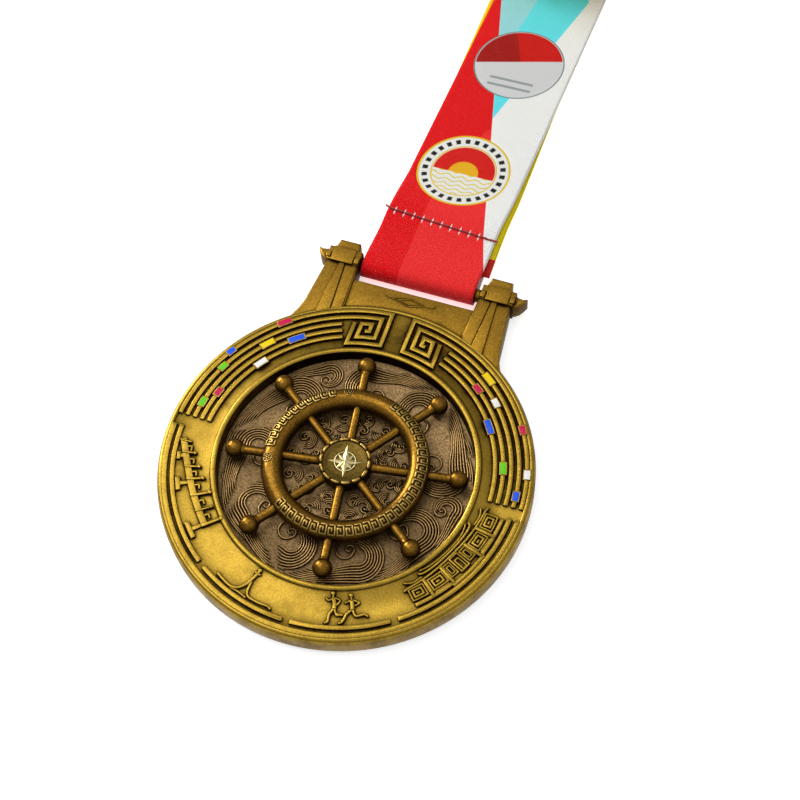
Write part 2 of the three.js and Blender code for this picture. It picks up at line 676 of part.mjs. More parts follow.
function ribbonRoute() {
  const low = SEAM_BASE;
  const [flatFrom, flatTo] = [SEAM_Y - SEAM_FLAT, SEAM_Y + SEAM_FLAT];
  const ground = RIBBON_THICKNESS / 2;
  const eye = Array.from({ length: 13 }, (_, i) => {
    const angle = -Math.PI / 2 - (Math.PI * i) / 12;
    return [BAR_Y + EYE_RADIUS * Math.cos(angle), BAR_Z + EYE_RADIUS * Math.sin(angle), 0];
  });
  const loopLow = settle(flatFrom, low, BAR_Y, BAR_Z - EYE_RADIUS, 0);
  const loopHigh = settle(BAR_Y, BAR_Z + EYE_RADIUS, flatFrom, low + 2 * LAYER_STEP, 0);
  const settled = flatTo + SETTLE_LENGTH;
  const front = settle(flatTo, low + 2 * LAYER_STEP, settled, ground + LAYER_STEP, 0);
  const back = settle(settled, ground, flatTo, low + LAYER_STEP, 1);
  const inner = rollTurns(-1);
  const outer = rollTurns(1).reverse();
  return [
    [SEAM_Y + LOOP_END, low, 0],
    ...loopLow.slice(0, -1),
    ...eye,
    ...loopHigh.slice(1),
    ...front,
    ...inner,
    ...neckFold(inner[inner.length - 1], outer[0]),
    ...outer,
    ...back,
    [BAR_Y + BACK_END, low + LAYER_STEP, 1],
  ];
}

// Sideways place of the strip's middle where the route is at y.
function ribbonShift(y, back) {
  const along = THREE.MathUtils.clamp(y, SEAM_Y, ROLL_Y) - SEAM_Y;
  const lean = along * Math.tan(radians(RIBBON_LEAN));
  const drift = along / (ROLL_Y - SEAM_Y);
  const backShift = BACK_SHIFT_SEAM + (BACK_SHIFT_FAR - BACK_SHIFT_SEAM) * drift;
  return LOOP_SHIFT + lean + back * backShift;
}

function ribbonStrip() {
  const route = ribbonRoute();
  const rollStart = route.findIndex(([y]) => y >= ROLL_Y);
  const rollEnd = route.findLastIndex(([y]) => y >= ROLL_Y);
  const corners = [];
  route.forEach(([y, z, back], i) => {
    const before = route[Math.max(i - 1, 0)];
    const after = route[Math.min(i + 1, route.length - 1)];
    const along = new THREE.Vector2(after[0] - before[0], after[1] - before[1]).normalize();
    const half = RIBBON_THICKNESS / 2;
    const inRoll = i >= rollStart && i <= rollEnd;
    const middle = ribbonShift(inRoll ? ROLL_Y : y, back);
    for (const across of [-RIBBON_WIDTH / 2, RIBBON_WIDTH / 2])
      for (const up of [-half, half])
        corners.push(middle + across, y - along.y * up, z + along.x * up);
  });
  // Each section's corners are left low, left high, right low, right high.
  const ring = [0, 1, 3, 2];
  const faces = [];
  for (let i = 0; i + 1 < route.length; i++)
    ring.forEach((corner, k) => {
      const [a, b] = [4 * i + corner, 4 * i + ring[(k + 1) % 4]];
      faces.push(a, b, b + 4, a, b + 4, a + 4);
    });
  const last = 4 * (route.length - 1);
  faces.push(0, 3, 1, 0, 2, 3, last, last + 1, last + 3, last, last + 3, last + 2);
  const geometry = new THREE.BufferGeometry();
  geometry.setAttribute("position", new THREE.Float32BufferAttribute(corners, 3));
  geometry.setIndex(faces);
  return toSolid(geometry);
}

// Places a needle hole's or a thread's geometry, drawn about the seam's middle, on the ribbon.
function onSeam(geometry) {
  return toSolid(geometry.rotateZ(radians(SEAM_SLANT)).translate(LOOP_SHIFT, SEAM_Y, 0));
}

function needlePlaces() {
  const stitches = Math.floor((RIBBON_WIDTH - 2 * SEAM_MARGIN) / STITCH_LENGTH);
  return Array.from({ length: stitches + 1 }, (_, i) => (i - stitches / 2) * STITCH_LENGTH);
}

const STACK_LOW = SEAM_BASE - RIBBON_THICKNESS / 2;
const STACK_HIGH = SEAM_BASE + 2 * LAYER_STEP + RIBBON_THICKNESS / 2;

function needleHoles() {
  const size = THREAD_SIZE + 2 * LAYER_GAP;
  const height = STACK_HIGH - STACK_LOW + 2 * OVERLAP;
  const middle = (STACK_LOW + STACK_HIGH) / 2;
  return needlePlaces().map((x) =>
    onSeam(new THREE.BoxGeometry(size, size, height).translate(x, 0, middle)),
  );
}

// A thread that lies along one face of the seam and dips into each needle hole to meet the
// other. side is 1 for the needle thread on top and -1 for the bobbin thread underneath.
function seamThread(side) {
  const face = side > 0 ? STACK_HIGH : STACK_LOW;
  const middle = (STACK_LOW + STACK_HIGH) / 2;
  const near = face + side * LAYER_GAP / 2;
  const far = near + side * THREAD_SIZE;
  const tip = middle + side * LAYER_GAP / 2;
  const half = THREAD_SIZE / 2;
  const places = needlePlaces();
  const end = places[places.length - 1] + THREAD_TAIL;
  const outline = [new THREE.Vector2(-end, far), new THREE.Vector2(-end, near)];
  for (const x of places)
    outline.push(
      new THREE.Vector2(x - half, near),
      new THREE.Vector2(x - half, tip),
      new THREE.Vector2(x + half, tip),
      new THREE.Vector2(x + half, near),
    );
  outline.push(new THREE.Vector2(end, near), new THREE.Vector2(end, far));
  const shape = new THREE.Shape(outline);
  const thread = new THREE.ExtrudeGeometry(shape, { depth: THREAD_SIZE, bevelEnabled: false });
  return onSeam(thread.rotateX(Math.PI / 2).translate(0, half, 0));
}

function neckRibbon() {
  return ribbonStrip().subtract(join(needleHoles()));
}

// ---- Assembly ----

const medal = new THREE.Group();
medal.add(
  toMesh("medal_body", medalBody(), BRASS),
  toMesh("pivot_rivet", pivotRivet(), BRASS),
  toMesh("spacer_washer", spacerWasher(), DARK_BRASS),
  ...ENAMELS.map(enamelInlay),
);

const wheel = new THREE.Group();
wheel.rotation.z = radians(WHEEL_REST_ANGLE);
wheel.add(toMesh("ship_wheel", shipWheel(), DARK_BRASS), toMesh("hub_cap", hubCap(), BRASS));

const ribbon = new THREE.Group();
ribbon.add(
  toMesh("neck_ribbon", neckRibbon(), SATIN),
  toMesh("needle_thread", seamThread(1), THREAD),
  toMesh("bobbin_thread", seamThread(-1), THREAD),
);

const assembly = new THREE.Group();
assembly.add(medal, wheel, ribbon);

export default assembly;
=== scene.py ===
import math

import bpy
from mathutils import Matrix, Vector


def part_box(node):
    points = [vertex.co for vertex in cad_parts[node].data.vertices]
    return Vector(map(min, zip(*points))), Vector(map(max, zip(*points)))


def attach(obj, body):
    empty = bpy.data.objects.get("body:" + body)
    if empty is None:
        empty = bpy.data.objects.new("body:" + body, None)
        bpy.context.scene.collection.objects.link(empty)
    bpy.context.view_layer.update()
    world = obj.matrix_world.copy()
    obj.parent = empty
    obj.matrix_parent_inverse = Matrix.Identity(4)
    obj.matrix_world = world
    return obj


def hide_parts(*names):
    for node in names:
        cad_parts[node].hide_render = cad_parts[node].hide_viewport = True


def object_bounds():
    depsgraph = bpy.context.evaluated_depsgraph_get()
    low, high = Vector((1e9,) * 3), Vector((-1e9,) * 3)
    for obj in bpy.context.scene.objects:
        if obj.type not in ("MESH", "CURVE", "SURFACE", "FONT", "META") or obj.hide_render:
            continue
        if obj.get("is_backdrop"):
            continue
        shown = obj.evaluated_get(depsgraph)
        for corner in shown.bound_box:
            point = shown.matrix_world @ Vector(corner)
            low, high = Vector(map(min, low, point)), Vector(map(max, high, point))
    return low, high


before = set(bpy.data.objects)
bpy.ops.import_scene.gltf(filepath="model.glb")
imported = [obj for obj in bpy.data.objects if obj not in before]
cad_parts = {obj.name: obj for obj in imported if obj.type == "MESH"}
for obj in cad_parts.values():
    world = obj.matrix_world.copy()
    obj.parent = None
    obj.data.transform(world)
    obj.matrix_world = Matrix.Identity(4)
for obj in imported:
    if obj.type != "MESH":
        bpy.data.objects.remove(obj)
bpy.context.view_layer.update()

MM = 0.001

# ---------------------------------------------------------------------------------------------
# Disc: one zinc-alloy die casting, brass plated, blackened and relieved. Its face has a rounded
# rim, a sunk band for the reliefs, a bright bead and a deep round recess that the wheel turns in.
# The back is plain, with one turned groove.
# ---------------------------------------------------------------------------------------------

medal_low, medal_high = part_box("medal_body")
DISC = -medal_low.y / MM  # radius
FACE = medal_high.z / MM - 0.4  # height of the rim; the hanger's capitals stand 0.4 above it
FIELD = FACE - 0.4  # the band between rim and bead
FLOOR = 2.0  # recess floor
RECESS = DISC - 11.8


def work_on(piece):
    """Opens one piece for editing, with nothing in it selected."""
    bpy.ops.object.select_all(action="DESELECT")
    piece.select_set(True)
    bpy.context.view_layer.objects.active = piece
    bpy.ops.object.mode_set(mode="EDIT")
    bpy.ops.mesh.select_all(action="DESELECT")


def put_down(piece, smooth=35):
    bpy.ops.object.mode_set(mode="OBJECT")
    bpy.ops.object.shade_smooth_by_angle(angle=math.radians(smooth))
    return piece


def from_lines(name, corners, edges):
    mesh = bpy.data.meshes.new(name)
    mesh.from_pydata(corners, edges, [])
    piece = bpy.data.objects.new(name, mesh)
    bpy.context.scene.collection.objects.link(piece)
    return piece


def turned(name, outline, steps, smooth=35):
    """Turns an outline of (radius, height) corners in millimetres about the disc's axis."""
    corners = [(radius * MM, 0, height * MM) for radius, height in outline]
    piece = from_lines(name, corners, [(i, i + 1) for i in range(len(corners) - 1)])
    work_on(piece)
    bpy.ops.mesh.select_all(action="SELECT")
    bpy.ops.mesh.spin(steps=steps, angle=2 * math.pi, center=(0, 0, 0), axis=(0, 0, 1))
    bpy.ops.mesh.select_all(action="SELECT")
    bpy.ops.mesh.remove_doubles(threshold=0.001 * MM)
    bpy.ops.mesh.normals_make_consistent(inside=False)
    return put_down(piece, smooth)


disc = turned(
    "disc_casting",
    [
        (0, 0), (28, 0), (34.5, 0), (34.58, 0.34), (34.7, 0.4), (35.1, 0.4), (35.22, 0.34), (35.3, 0),
        (36.5, 0), (36.95, 0.12), (37.28, 0.4), (37.46, 0.8), (DISC, 1.2), (DISC, 3.8),
        (37.45, 4.2), (37.32, 4.55), (37.1, 4.83), (36.85, 4.96), (36.6, FACE), (36.4, 4.95),
        (36.27, 4.82), (36.2, 4.68), (36.08, FIELD), (27.1, FIELD), (26.98, 4.66), (26.92, 4.82),
        (26.8, 4.98), (26.6, 5.09), (26.3, 5.13), (26.0, 5.08), (25.8, 4.95), (RECESS, 4.7),
        (RECESS, 2.35), (25.62, 2.12), (25.4, FLOOR), (13, FLOOR), (2, FLOOR), (2, 4.65), (1.05, 4.65),
        (1.05, 2.15), (0, 2.15),
    ],
    216,
)


def colour(value):
    """A hex colour as sRGB, turned linear."""
    parts = [int(value[i : i + 2], 16) / 255 for i in (1, 3, 5)]
    return [c / 12.92 if c <= 0.04045 else ((c + 0.055) / 1.055) ** 2.4 for c in parts] + [1]


def node(tree, kind, inputs=None, out=0, **settings):
    """Adds a shader node with its settings, sets or links its inputs, and returns an output."""
    made = tree.nodes.new("ShaderNode" + kind)
    for name, value in settings.items():
        setattr(made, name, value)
    for name, value in (inputs or {}).items():
        if isinstance(value, bpy.types.NodeSocket):
            tree.links.new(value, made.inputs[name])
        else:
            made.inputs[name].default_value = value
    return made.outputs[out] if len(made.outputs) else made


def new_material(name):
    material = bpy.data.materials.new(name)
    material.use_nodes = True
    material.node_tree.nodes.clear()
    return material, material.node_tree


def antique_brass(name, bright, worn, dark, polish, patina_and_shade_reach, grain, painted_side_shade=0.75, darkening_to_hanger=0.0):
    """Zinc casting, brass plated and blackened, then rubbed back: bright gold on what stands
    proud, brown to black patina left in corners and in a few soft clouds. The corners also
    carry painted shade, and sides that stand up are painted dark as shade."""
    material, tree = new_material(name)
    place = node(tree, "TexCoord", out="Object")
    clouds = node(tree, "TexNoise", {"Vector": place, "Scale": 210, "Detail": 6, "Roughness": 0.65})
    specks = node(tree, "TexNoise", {"Vector": place, "Scale": 2600, "Detail": 3, "Roughness": 0.65})
    # Corners: near any step, and near any other piece, the colour darkens, partly as patina left in the
    # hollows and partly as painted shade where light hardly reaches.
    reach = node(tree, "AmbientOcclusion", {"Distance": patina_and_shade_reach * MM}, out="AO", samples=12)
    corners = node(tree, "MapRange", {"Value": reach, 1: 0.58, 2: 1.0, 3: 1.0, 4: 0.0})
    # Painted shade: sides are darkened the more they stand up from level.
    facing = node(tree, "TexCoord", out="Normal")
    upright = node(tree, "SeparateXYZ", {0: facing}, out="Z")
    flat = node(tree, "Math", {0: upright}, operation="ABSOLUTE")
    sides = node(tree, "MapRange", {"Value": flat, 1: 0.25, 2: 0.85, 3: painted_side_shade, 4: 0.0})
    dirt_and_shade = node(tree, "Math", {0: corners, 1: sides}, operation="MAXIMUM")
    cloudy = node(tree, "MapRange", {"Value": clouds, 1: 0.42, 2: 0.72, 3: -0.06, 4: 0.3})
    dirt_and_shade = node(tree, "Math", {0: dirt_and_shade, 1: cloudy}, operation="ADD", use_clamp=True)
    # Below the rim's height the colour darkens more and more towards the hanger.
    upward = node(tree, "SeparateXYZ", {0: place}, out="Y")
    above = node(tree, "SeparateXYZ", {0: place}, out="Z")
    nearer = node(tree, "MapRange", {"Value": upward, 1: -5 * MM, 2: 33 * MM, 3: 0.0, 4: darkening_to_hanger})
    deeper = node(tree, "MapRange", {"Value": above, 1: 4.7 * MM, 2: 4.85 * MM, 3: 1.0, 4: 0.0})
    hanger_darkening = node(tree, "Math", {0: nearer, 1: deeper}, operation="MULTIPLY")
    dirt_and_shade = node(tree, "Math", {0: dirt_and_shade, 1: hanger_darkening}, operation="ADD", use_clamp=True)
    speckled = node(tree, "MapRange", {"Value": specks, 1: 0.3, 2: 0.7, 3: 0.0, 4: 1.0})
    metal = node(
        tree, "Mix", {0: speckled, 6: colour(bright), 7: colour(worn)}, out=2, data_type="RGBA"
    )
    body = node(tree, "Mix", {0: dirt_and_shade, 6: metal, 7: colour(dark)}, out=2, data_type="RGBA")
    rough = node(tree, "MapRange", {"Value": dirt_and_shade, 1: 0.0, 2: 1.0, 3: polish, 4: 0.62})
    ripple = node(tree, "Bump", {"Height": specks, "Strength": grain, "Distance": 0.03 * MM})
    shader = node(
        tree, "BsdfPrincipled", {"Base Color": body, "Metallic": 1, "Roughness": rough, "Normal": ripple}
    )
    node(tree, "OutputMaterial", {0: shader})
    return material


def sandblasted_bronze(name):
    """The recess floor is blasted before plating, so it takes the blackening as an even brown
    with a fine sparkle. Grit of 0.1 mm is drawn 0.3 mm coarse to show."""
    material, tree = new_material(name)
    place = node(tree, "TexCoord", out="Object")
    grit = node(tree, "TexNoise", {"Vector": place, "Scale": 3200, "Detail": 4, "Roughness": 0.75})
    clouds = node(tree, "TexNoise", {"Vector": place, "Scale": 160, "Detail": 3})
    # Corners: near the wall and the wave lines the floor darkens, partly as patina left there and partly as
    # painted shade.
    reach = node(tree, "AmbientOcclusion", {"Distance": 0.55 * MM}, out="AO", samples=12)
    corners = node(tree, "MapRange", {"Value": reach, 1: 0.5, 2: 0.97, 3: 1.0, 4: 0.0})
    spark = node(tree, "MapRange", {"Value": grit, 1: 0.36, 2: 0.66, 3: 0.0, 4: 1.0})
    sand = node(
        tree, "Mix", {0: spark, 6: colour("#66502f"), 7: colour("#c8a370")}, out=2, data_type="RGBA"
    )
    cloudy = node(tree, "MapRange", {"Value": clouds, 1: 0.4, 2: 0.75, 3: 0.0, 4: 0.25})
    dirt_and_shade = node(tree, "Math", {0: corners, 1: cloudy}, operation="ADD", use_clamp=True)
    body = node(tree, "Mix", {0: dirt_and_shade, 6: sand, 7: colour("#1c1206")}, out=2, data_type="RGBA")
    bumps = node(tree, "Bump", {"Height": grit, "Strength": 0.35, "Distance": 0.06 * MM})
    shader = node(
        tree, "BsdfPrincipled", {"Base Color": body, "Metallic": 0.9, "Roughness": 0.55, "Normal": bumps}
    )
    node(tree, "OutputMaterial", {0: shader})
    return material


# The disc's brass: below the rim it darkens towards the hanger, and its upright sides get painted shade.
rubbed_brass = antique_brass(
    "rubbed_antique_brass", "#bd9f3c", "#a0792a", "#221204", polish=0.25, patina_and_shade_reach=1.6, grain=0.08,
    painted_side_shade=0.55, darkening_to_hanger=0.6,
)
floor_bronze = sandblasted_bronze("sandblasted_bronze")
disc.data.materials.append(rubbed_brass)
disc.data.materials.append(floor_bronze)
for face in disc.data.polygons:
    out_from_axis = math.hypot(face.center.x, face.center.y)
    if 2.5 * MM < out_from_axis < (RECESS - 0.05) * MM and 1 * MM < face.center.z < 2.2 * MM:
        face.material_index = 1
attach(disc, "medal")
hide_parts("medal_body")

# ---------------------------------------------------------------------------------------------
# Band lines: five raised lines like a music stave on each side of the upper half, the outer two
# running on into a squared spiral, and one whole and one broken line round the lower half. They
# are part of the casting, flat on top with pressed-soft edges.
# ---------------------------------------------------------------------------------------------


def as_mesh(name, curve):
    """Puts a curve in the scene as a mesh of its own."""
    piece = bpy.data.objects.new(name, curve)
    bpy.context.scene.collection.objects.link(piece)
    bpy.ops.object.select_all(action="DESELECT")
    piece.select_set(True)
    bpy.context.view_layer.objects.active = piece
    bpy.ops.object.convert(target="MESH")
    return bpy.context.object


def pressed(name, outlines, low, high, edge=0.12, rounds=1, smooth=40):
    """Raised shapes with softened edges from closed outlines; one inside another is a hole."""
    curve = bpy.data.curves.new(name, "CURVE")
    curve.dimensions = "2D"
    curve.fill_mode = "BOTH"
    curve.bevel_depth = edge * MM
    curve.bevel_resolution = rounds
    curve.offset = -edge * MM
    curve.extrude = ((high - low) / 2 - edge) * MM
    for outline in outlines:
        spline = curve.splines.new("POLY")
        spline.points.add(len(outline) - 1)
        for point, (x, y) in zip(spline.points, outline):
            point.co = (x * MM, y * MM, 0, 1)
        spline.use_cyclic_u = True
    piece = as_mesh(name, curve)
    work_on(piece)
    bpy.ops.mesh.select_all(action="SELECT")
    bpy.ops.mesh.remove_doubles(threshold=0.002 * MM)
    bpy.ops.mesh.normals_make_consistent(inside=False)
    bpy.ops.transform.translate(value=(0, 0, (low + high) / 2 * MM))
    return put_down(piece, smooth)


def joined(name, pieces):
    bpy.ops.object.select_all(action="DESELECT")
    for piece in pieces:
        piece.select_set(True)
    bpy.context.view_layer.objects.active = pieces[0]
    bpy.ops.object.join()
    pieces[0].name = name
    return pieces[0]


def on_band(degrees, radius):
    turn = math.radians(degrees)
    return (radius * math.cos(turn), radius * math.sin(turn))


def arc(radius, start, stop, step=1.5):
    steps = max(1, math.ceil(abs(stop - start) / step))
    return [on_band(start + (stop - start) * i / steps, radius) for i in range(steps + 1)]


def stroke(points, width):
    """The outline of a line of even width along open points, with mitred corners."""
    left, right = [], []
    for i, (x, y) in enumerate(points):
        before, after = points[max(i - 1, 0)], points[min(i + 1, len(points) - 1)]
        into, out = Vector((x, y)) - Vector(before), Vector(after) - Vector((x, y))
        if i == 0 or into.length == 0:
            into = out
        if i == len(points) - 1 or out.length == 0:
            out = into
        into, out = into.normalized(), out.normalized()
        along = (into + out).normalized()
        reach = width / 2 / max(along.dot(into), 0.3)
        left.append((x - along.y * reach, y + along.x * reach))
        right.append((x + along.y * reach, y - along.x * reach))
    return left + right[::-1]


def mirrored(outline):
    return [(-x, y) for x, y in outline]


ROOT = FIELD - 0.2  # the raised shapes run this far into the casting
STAVE = 35.8  # radius of the outermost line
PITCH = 1.57
LINE = 0.85
FRET_SIDES = (2.4, 4.1, 5.7, 6.6, 7.8, 9.3)
FRET_CROSSES = (27.9, 29.4, 30.9, 32.65)


def fret_cross(radius, start_x, stop_x):
    degrees = [math.degrees(math.acos(x / radius)) for x in (start_x, stop_x)]
    return arc(radius, *degrees)


outer_line = (
    fret_cross(STAVE, STAVE * math.cos(math.radians(1.4)), FRET_SIDES[0])
    + fret_cross(FRET_CROSSES[0], FRET_SIDES[0], FRET_SIDES[5])
    + [(FRET_SIDES[5], math.sqrt((STAVE - PITCH - LINE - 0.35) ** 2 - FRET_SIDES[5] ** 2))]
)
second_line = (
    fret_cross(STAVE - PITCH, (STAVE - PITCH) * math.cos(math.radians(1.4)), FRET_SIDES[1])
    + fret_cross(FRET_CROSSES[1], FRET_SIDES[1], FRET_SIDES[4])
    + fret_cross(FRET_CROSSES[3], FRET_SIDES[4], FRET_SIDES[2])
    + fret_cross(FRET_CROSSES[2], FRET_SIDES[2], FRET_SIDES[3])
)
stave = [outer_line, second_line] + [arc(STAVE - k * PITCH, 1.4, 69) for k in (2, 3, 4)]
band_lines = [stroke(line, LINE) for line in stave]
band_lines += [mirrored(line) for line in band_lines]
band_lines.append(stroke(arc(35.95, 182.6, 357.4), 1.0))
for start, stop in ((182.6, 235.1), (237.5, 269.6), (272, 304.1), (306.5, 357.4)):
    band_lines.append(stroke(arc(34.35, start, stop), 0.9))
lines = pressed("band_lines", band_lines, ROOT, FACE + 0.02, edge=0.1)
lines.data.materials.append(rubbed_brass)
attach(lines, "medal")

# ---------------------------------------------------------------------------------------------
# Soft-enamel inlays: each is a drop of coloured resin enamel in a little cast frame that sits
# on one stave line. It dries glassy, level with the frame's edge.
# ---------------------------------------------------------------------------------------------

ENAMEL_COLOURS = {
    "blue": "#1a5cf0", "white": "#f7f7f5", "green": "#66d414", "pink": "#d01250", "yellow": "#f8d800"
}
INLAYS = {
    "enamel_right_blue_low": (2, 3.8, 7), "enamel_right_white_low": (1, 12, 15),
    "enamel_right_green": (4, 13.2, 17.8), "enamel_right_pink_low": (1, 28, 31),
    "enamel_right_blue_high": (5, 30.6, 36.6), "enamel_right_white_high": (3, 40.4, 43.8),
    "enamel_right_pink_high": (4, 48.6, 52.2), "enamel_right_yellow": (2, 49.2, 54),
    "enamel_left_blue_high": (4, 125.6, 131.8), "enamel_left_pink_high": (1, 128.2, 132.8),
    "enamel_left_yellow": (3, 136.8, 141.8), "enamel_left_white": (5, 143.2, 148.4),
    "enamel_left_blue_low": (1, 149.6, 152.4), "enamel_left_green_high": (2, 155.4, 158.4),
    "enamel_left_pink_low": (4, 164.2, 167.6), "enamel_left_green_low": (3, 170.4, 173.8),
}


def soft_enamel(name, pigment):
    material, tree = new_material(name)
    place = node(tree, "TexCoord", out="Object")
    swirl = node(tree, "TexNoise", {"Vector": place, "Scale": 500, "Detail": 1})
    depth = node(tree, "MapRange", {"Value": swirl, 1: 0.3, 2: 0.7, 3: 0.82, 4: 1.06})
    base = colour(pigment)
    body = node(
        tree, "Mix", {0: depth, 6: [c * 0.6 for c in base[:3]] + [1], 7: base}, out=2, data_type="RGBA"
    )
    shader = node(
        tree, "BsdfPrincipled", {"Base Color": body, "Roughness": 0.22, "Specular IOR Level": 0.25}
    )
    node(tree, "OutputMaterial", {0: shader})
    return material


def sector(line, start, stop, grow):
    radius = STAVE - (line - 1) * PITCH
    half, turn = 1.15 / 2 + grow, math.degrees(grow / radius)
    return arc(radius + half, start - turn, stop + turn) + arc(radius - half, stop + turn, start - turn)


enamel_frames = []
for name, (line, start, stop) in INLAYS.items():
    walls = [sector(line, start, stop, 0.2), sector(line, start, stop, 0)]
    enamel_frames.append(pressed(name + "_wall", walls, ROOT, FACE + 0.12, edge=0.05))
    fill = pressed(name + "_fill", [sector(line, start, stop, 0.03)], 4.5, FACE + 0.12, 0.06, 2, 60)
    kind = next(key for key in ENAMEL_COLOURS if "_" + key in name)
    label = "soft_enamel_" + kind
    made = bpy.data.materials.get(label) or soft_enamel(label, ENAMEL_COLOURS[kind])
    fill.data.materials.append(made)
    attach(fill, "medal")
    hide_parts(name)
enamel_walls = joined("enamel_walls", enamel_frames)
enamel_walls.data.materials.clear()
enamel_walls.data.materials.append(rubbed_brass)
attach(enamel_walls, "medal")

# ---------------------------------------------------------------------------------------------
# Landmark reliefs in the lower band: a pier bridge, a slender mast, two runners and a long
# pavilion, all generic. They are cast with the disc, feet outwards, and rubbed bright on top,
# with painted shade down their sides.
# ---------------------------------------------------------------------------------------------


def band_path(corners):
    return [on_band(degrees, radius) for degrees, radius in corners]


def rod(from_corner, to_corner, width):
    return stroke(band_path([from_corner, to_corner]), width)


def smooth_path(corners, steps=6):
    """Rounds a few (degrees, radius) corners into a flowing line, passing through them all."""
    ends = [corners[0]] + list(corners) + [corners[-1]]
    flowing = []
    for a, b, c, d in zip(ends, ends[1:], ends[2:], ends[3:]):
        for i in range(steps):
            t = i / steps
            flowing.append(
                tuple(
                    0.5 * (2 * b[k] + (c[k] - a[k]) * t + (2 * a[k] - 5 * b[k] + 4 * c[k] - d[k]) * t**2
                           + (3 * b[k] - a[k] - 3 * c[k] + d[k]) * t**3)
                    for k in (0, 1)
                )
            )
    return band_path(flowing + [tuple(corners[-1])])


def spot(x, y, size, sides):
    turns = [2 * math.pi * i / sides for i in range(sides)]
    return [(x + size * math.cos(t), y + size * math.sin(t)) for t in turns]


def blob(degrees, radius, size):
    return spot(*on_band(degrees, radius), size, 14)


DECK = [
    (187.5, 33.2), (190, 32.6), (194, 31.9), (199, 31.2), (205.3, 30.65), (211, 30.3), (217, 30.05),
    (224, 29.95),
]


def deck_radius(degrees):
    for (a, low), (b, high) in zip(DECK, DECK[1:]):
        if a <= degrees <= b:
            return low + (high - low) * (degrees - a) / (b - a)
    return DECK[-1][1]


bridge = [pressed("deck", [stroke(smooth_path(DECK, 4), 1.4)], ROOT, FACE + 0.05, 0.14, 2)]
for degrees, inward, size in (
    (188.3, 1.5, 0.42), (192.8, 2.0, 0.5), (198.6, 2.3, 0.5), (203.8, 2.6, 0.55), (210.7, 3.2, 0.58),
    (217.4, 2.5, 0.42), (223.9, 3.4, 0.62),
):
    base = deck_radius(degrees)
    bridge.append(
        pressed("pillar", [rod((degrees, base + 0.7), (degrees + 0.4, base - inward), size)],
                ROOT, FACE + 0.18, 0.16, 2)
    )
    bridge.append(
        pressed("knob", [blob(degrees + 0.4, base - inward, size * 0.72)], ROOT, FACE + 0.26, 0.16, 2)
    )
for degrees in (190.4, 195.6, 200.9, 206.6, 213.6, 220.2):
    base = deck_radius(degrees)
    hook = [(degrees, base), (degrees, base - 1.5), (degrees + 2, base - 1.5)]
    bridge.append(pressed("baluster", [stroke(band_path(hook), 0.36)], ROOT, FACE + 0.02, 0.1))
for degrees, width, depth in ((194.3, 2.9, 0.75), (205.1, 4.9, 0.95), (223.5, 6.4, 1.0)):
    half, foot = width / 2, 33.7 if degrees < 210 else 33.45
    block = arc(foot, degrees - half, degrees + half) + arc(foot - depth, degrees + half, degrees - half)
    bridge.append(pressed("pier", [block], ROOT, FACE + 0.08, 0.12))
    neck = rod((degrees, foot - depth + 0.1), (degrees, deck_radius(degrees)), 0.75)
    bridge.append(pressed("neck", [neck], ROOT, FACE + 0.02, 0.12))
bridge_relief = joined("bridge_relief", bridge)

MAST = [(242.3, 33.1), (245.2, 33.25), (248.5, 33.35), (250.6, 32.94), (251.8, 32.24), (252.7, 31.31),
        (253.2, 30.37), (253.5, 29.49), (253.7, 28.6), (253.7, 27.5)]
MAST_RIGHT = [(253.7, 30.2), (254.1, 31.1), (254.5, 32), (255, 32.6), (256.2, 33.1), (259.2, 33.15),
              (261.1, 33.1), (263.5, 33.0), (264.8, 33.4)]
mast_relief = joined(
    "mast_relief",
    [
        pressed("mast_left", [stroke(smooth_path(MAST), 0.5)], ROOT, FACE + 0.05, 0.12),
        pressed("mast_right", [stroke(smooth_path(MAST_RIGHT), 0.45)], ROOT, FACE, 0.12),
        pressed("mast_foot", [stroke(smooth_path([(249, 33.6), (252, 33.3), (255.5, 33.5)]), 0.4)],
                ROOT, FACE - 0.1, 0.1),
        pressed("mast_yard", [rod((252.2, 28.3), (255, 28.3), 0.4)], ROOT, FACE + 0.05, 0.1),
        pressed("mast_tip", [blob(253.7, 27.55, 0.36)], ROOT, FACE + 0.08, 0.1),
    ],
)

RUNNERS = (
    {
        "head": (285.1, 27.5), "torso": [(285.3, 28.5), (285.9, 29.5), (285.9, 30.7)],
        "limbs": [
            [(285.2, 28.5), (283.7, 28.95), (282.3, 28.5)], [(285.6, 28.4), (287.9, 28.95), (286.6, 29.9)],
            [(285.7, 30.6), (284.4, 31.7), (284.2, 32.5), (284, 33.2), (282.8, 33.5)],
            [(286.0, 30.6), (286.8, 31.75), (287.8, 31.8), (289.2, 31.8)],
        ],
    },
    {
        "head": (292.1, 27.95), "torso": [(292.2, 28.9), (292.3, 29.8), (292.3, 30.95)],
        "limbs": [
            [(292, 28.9), (290.4, 29.3), (289.5, 29.45)], [(292.6, 28.9), (295, 29.6), (293.2, 30.1)],
            [(292, 30.9), (290.2, 31.7), (289.5, 32.5), (288.6, 33.25), (287.4, 33.45)],
            [(292.4, 30.9), (293.2, 32.1), (294.9, 32.1), (296.3, 32), (297.5, 32.6)],
        ],
    },
)
figures = []
for runner in RUNNERS:
    figures.append(pressed("head", [blob(*runner["head"], 0.43)], ROOT, FACE + 0.1, 0.2, 2))
    figures.append(
        pressed("torso", [stroke(smooth_path(runner["torso"]), 0.85)], ROOT, FACE + 0.08, 0.2, 2)
    )
    neck = [runner["head"], runner["torso"][0]]
    figures.append(pressed("neck", [stroke(band_path(neck), 0.35)], ROOT, FACE, 0.12))
    for i, limb in enumerate(runner["limbs"]):
        width = 0.36 if i < 2 else 0.48
        figures.append(pressed("limb", [stroke(smooth_path(limb), width)], ROOT, FACE + 0.04, 0.13, 2))
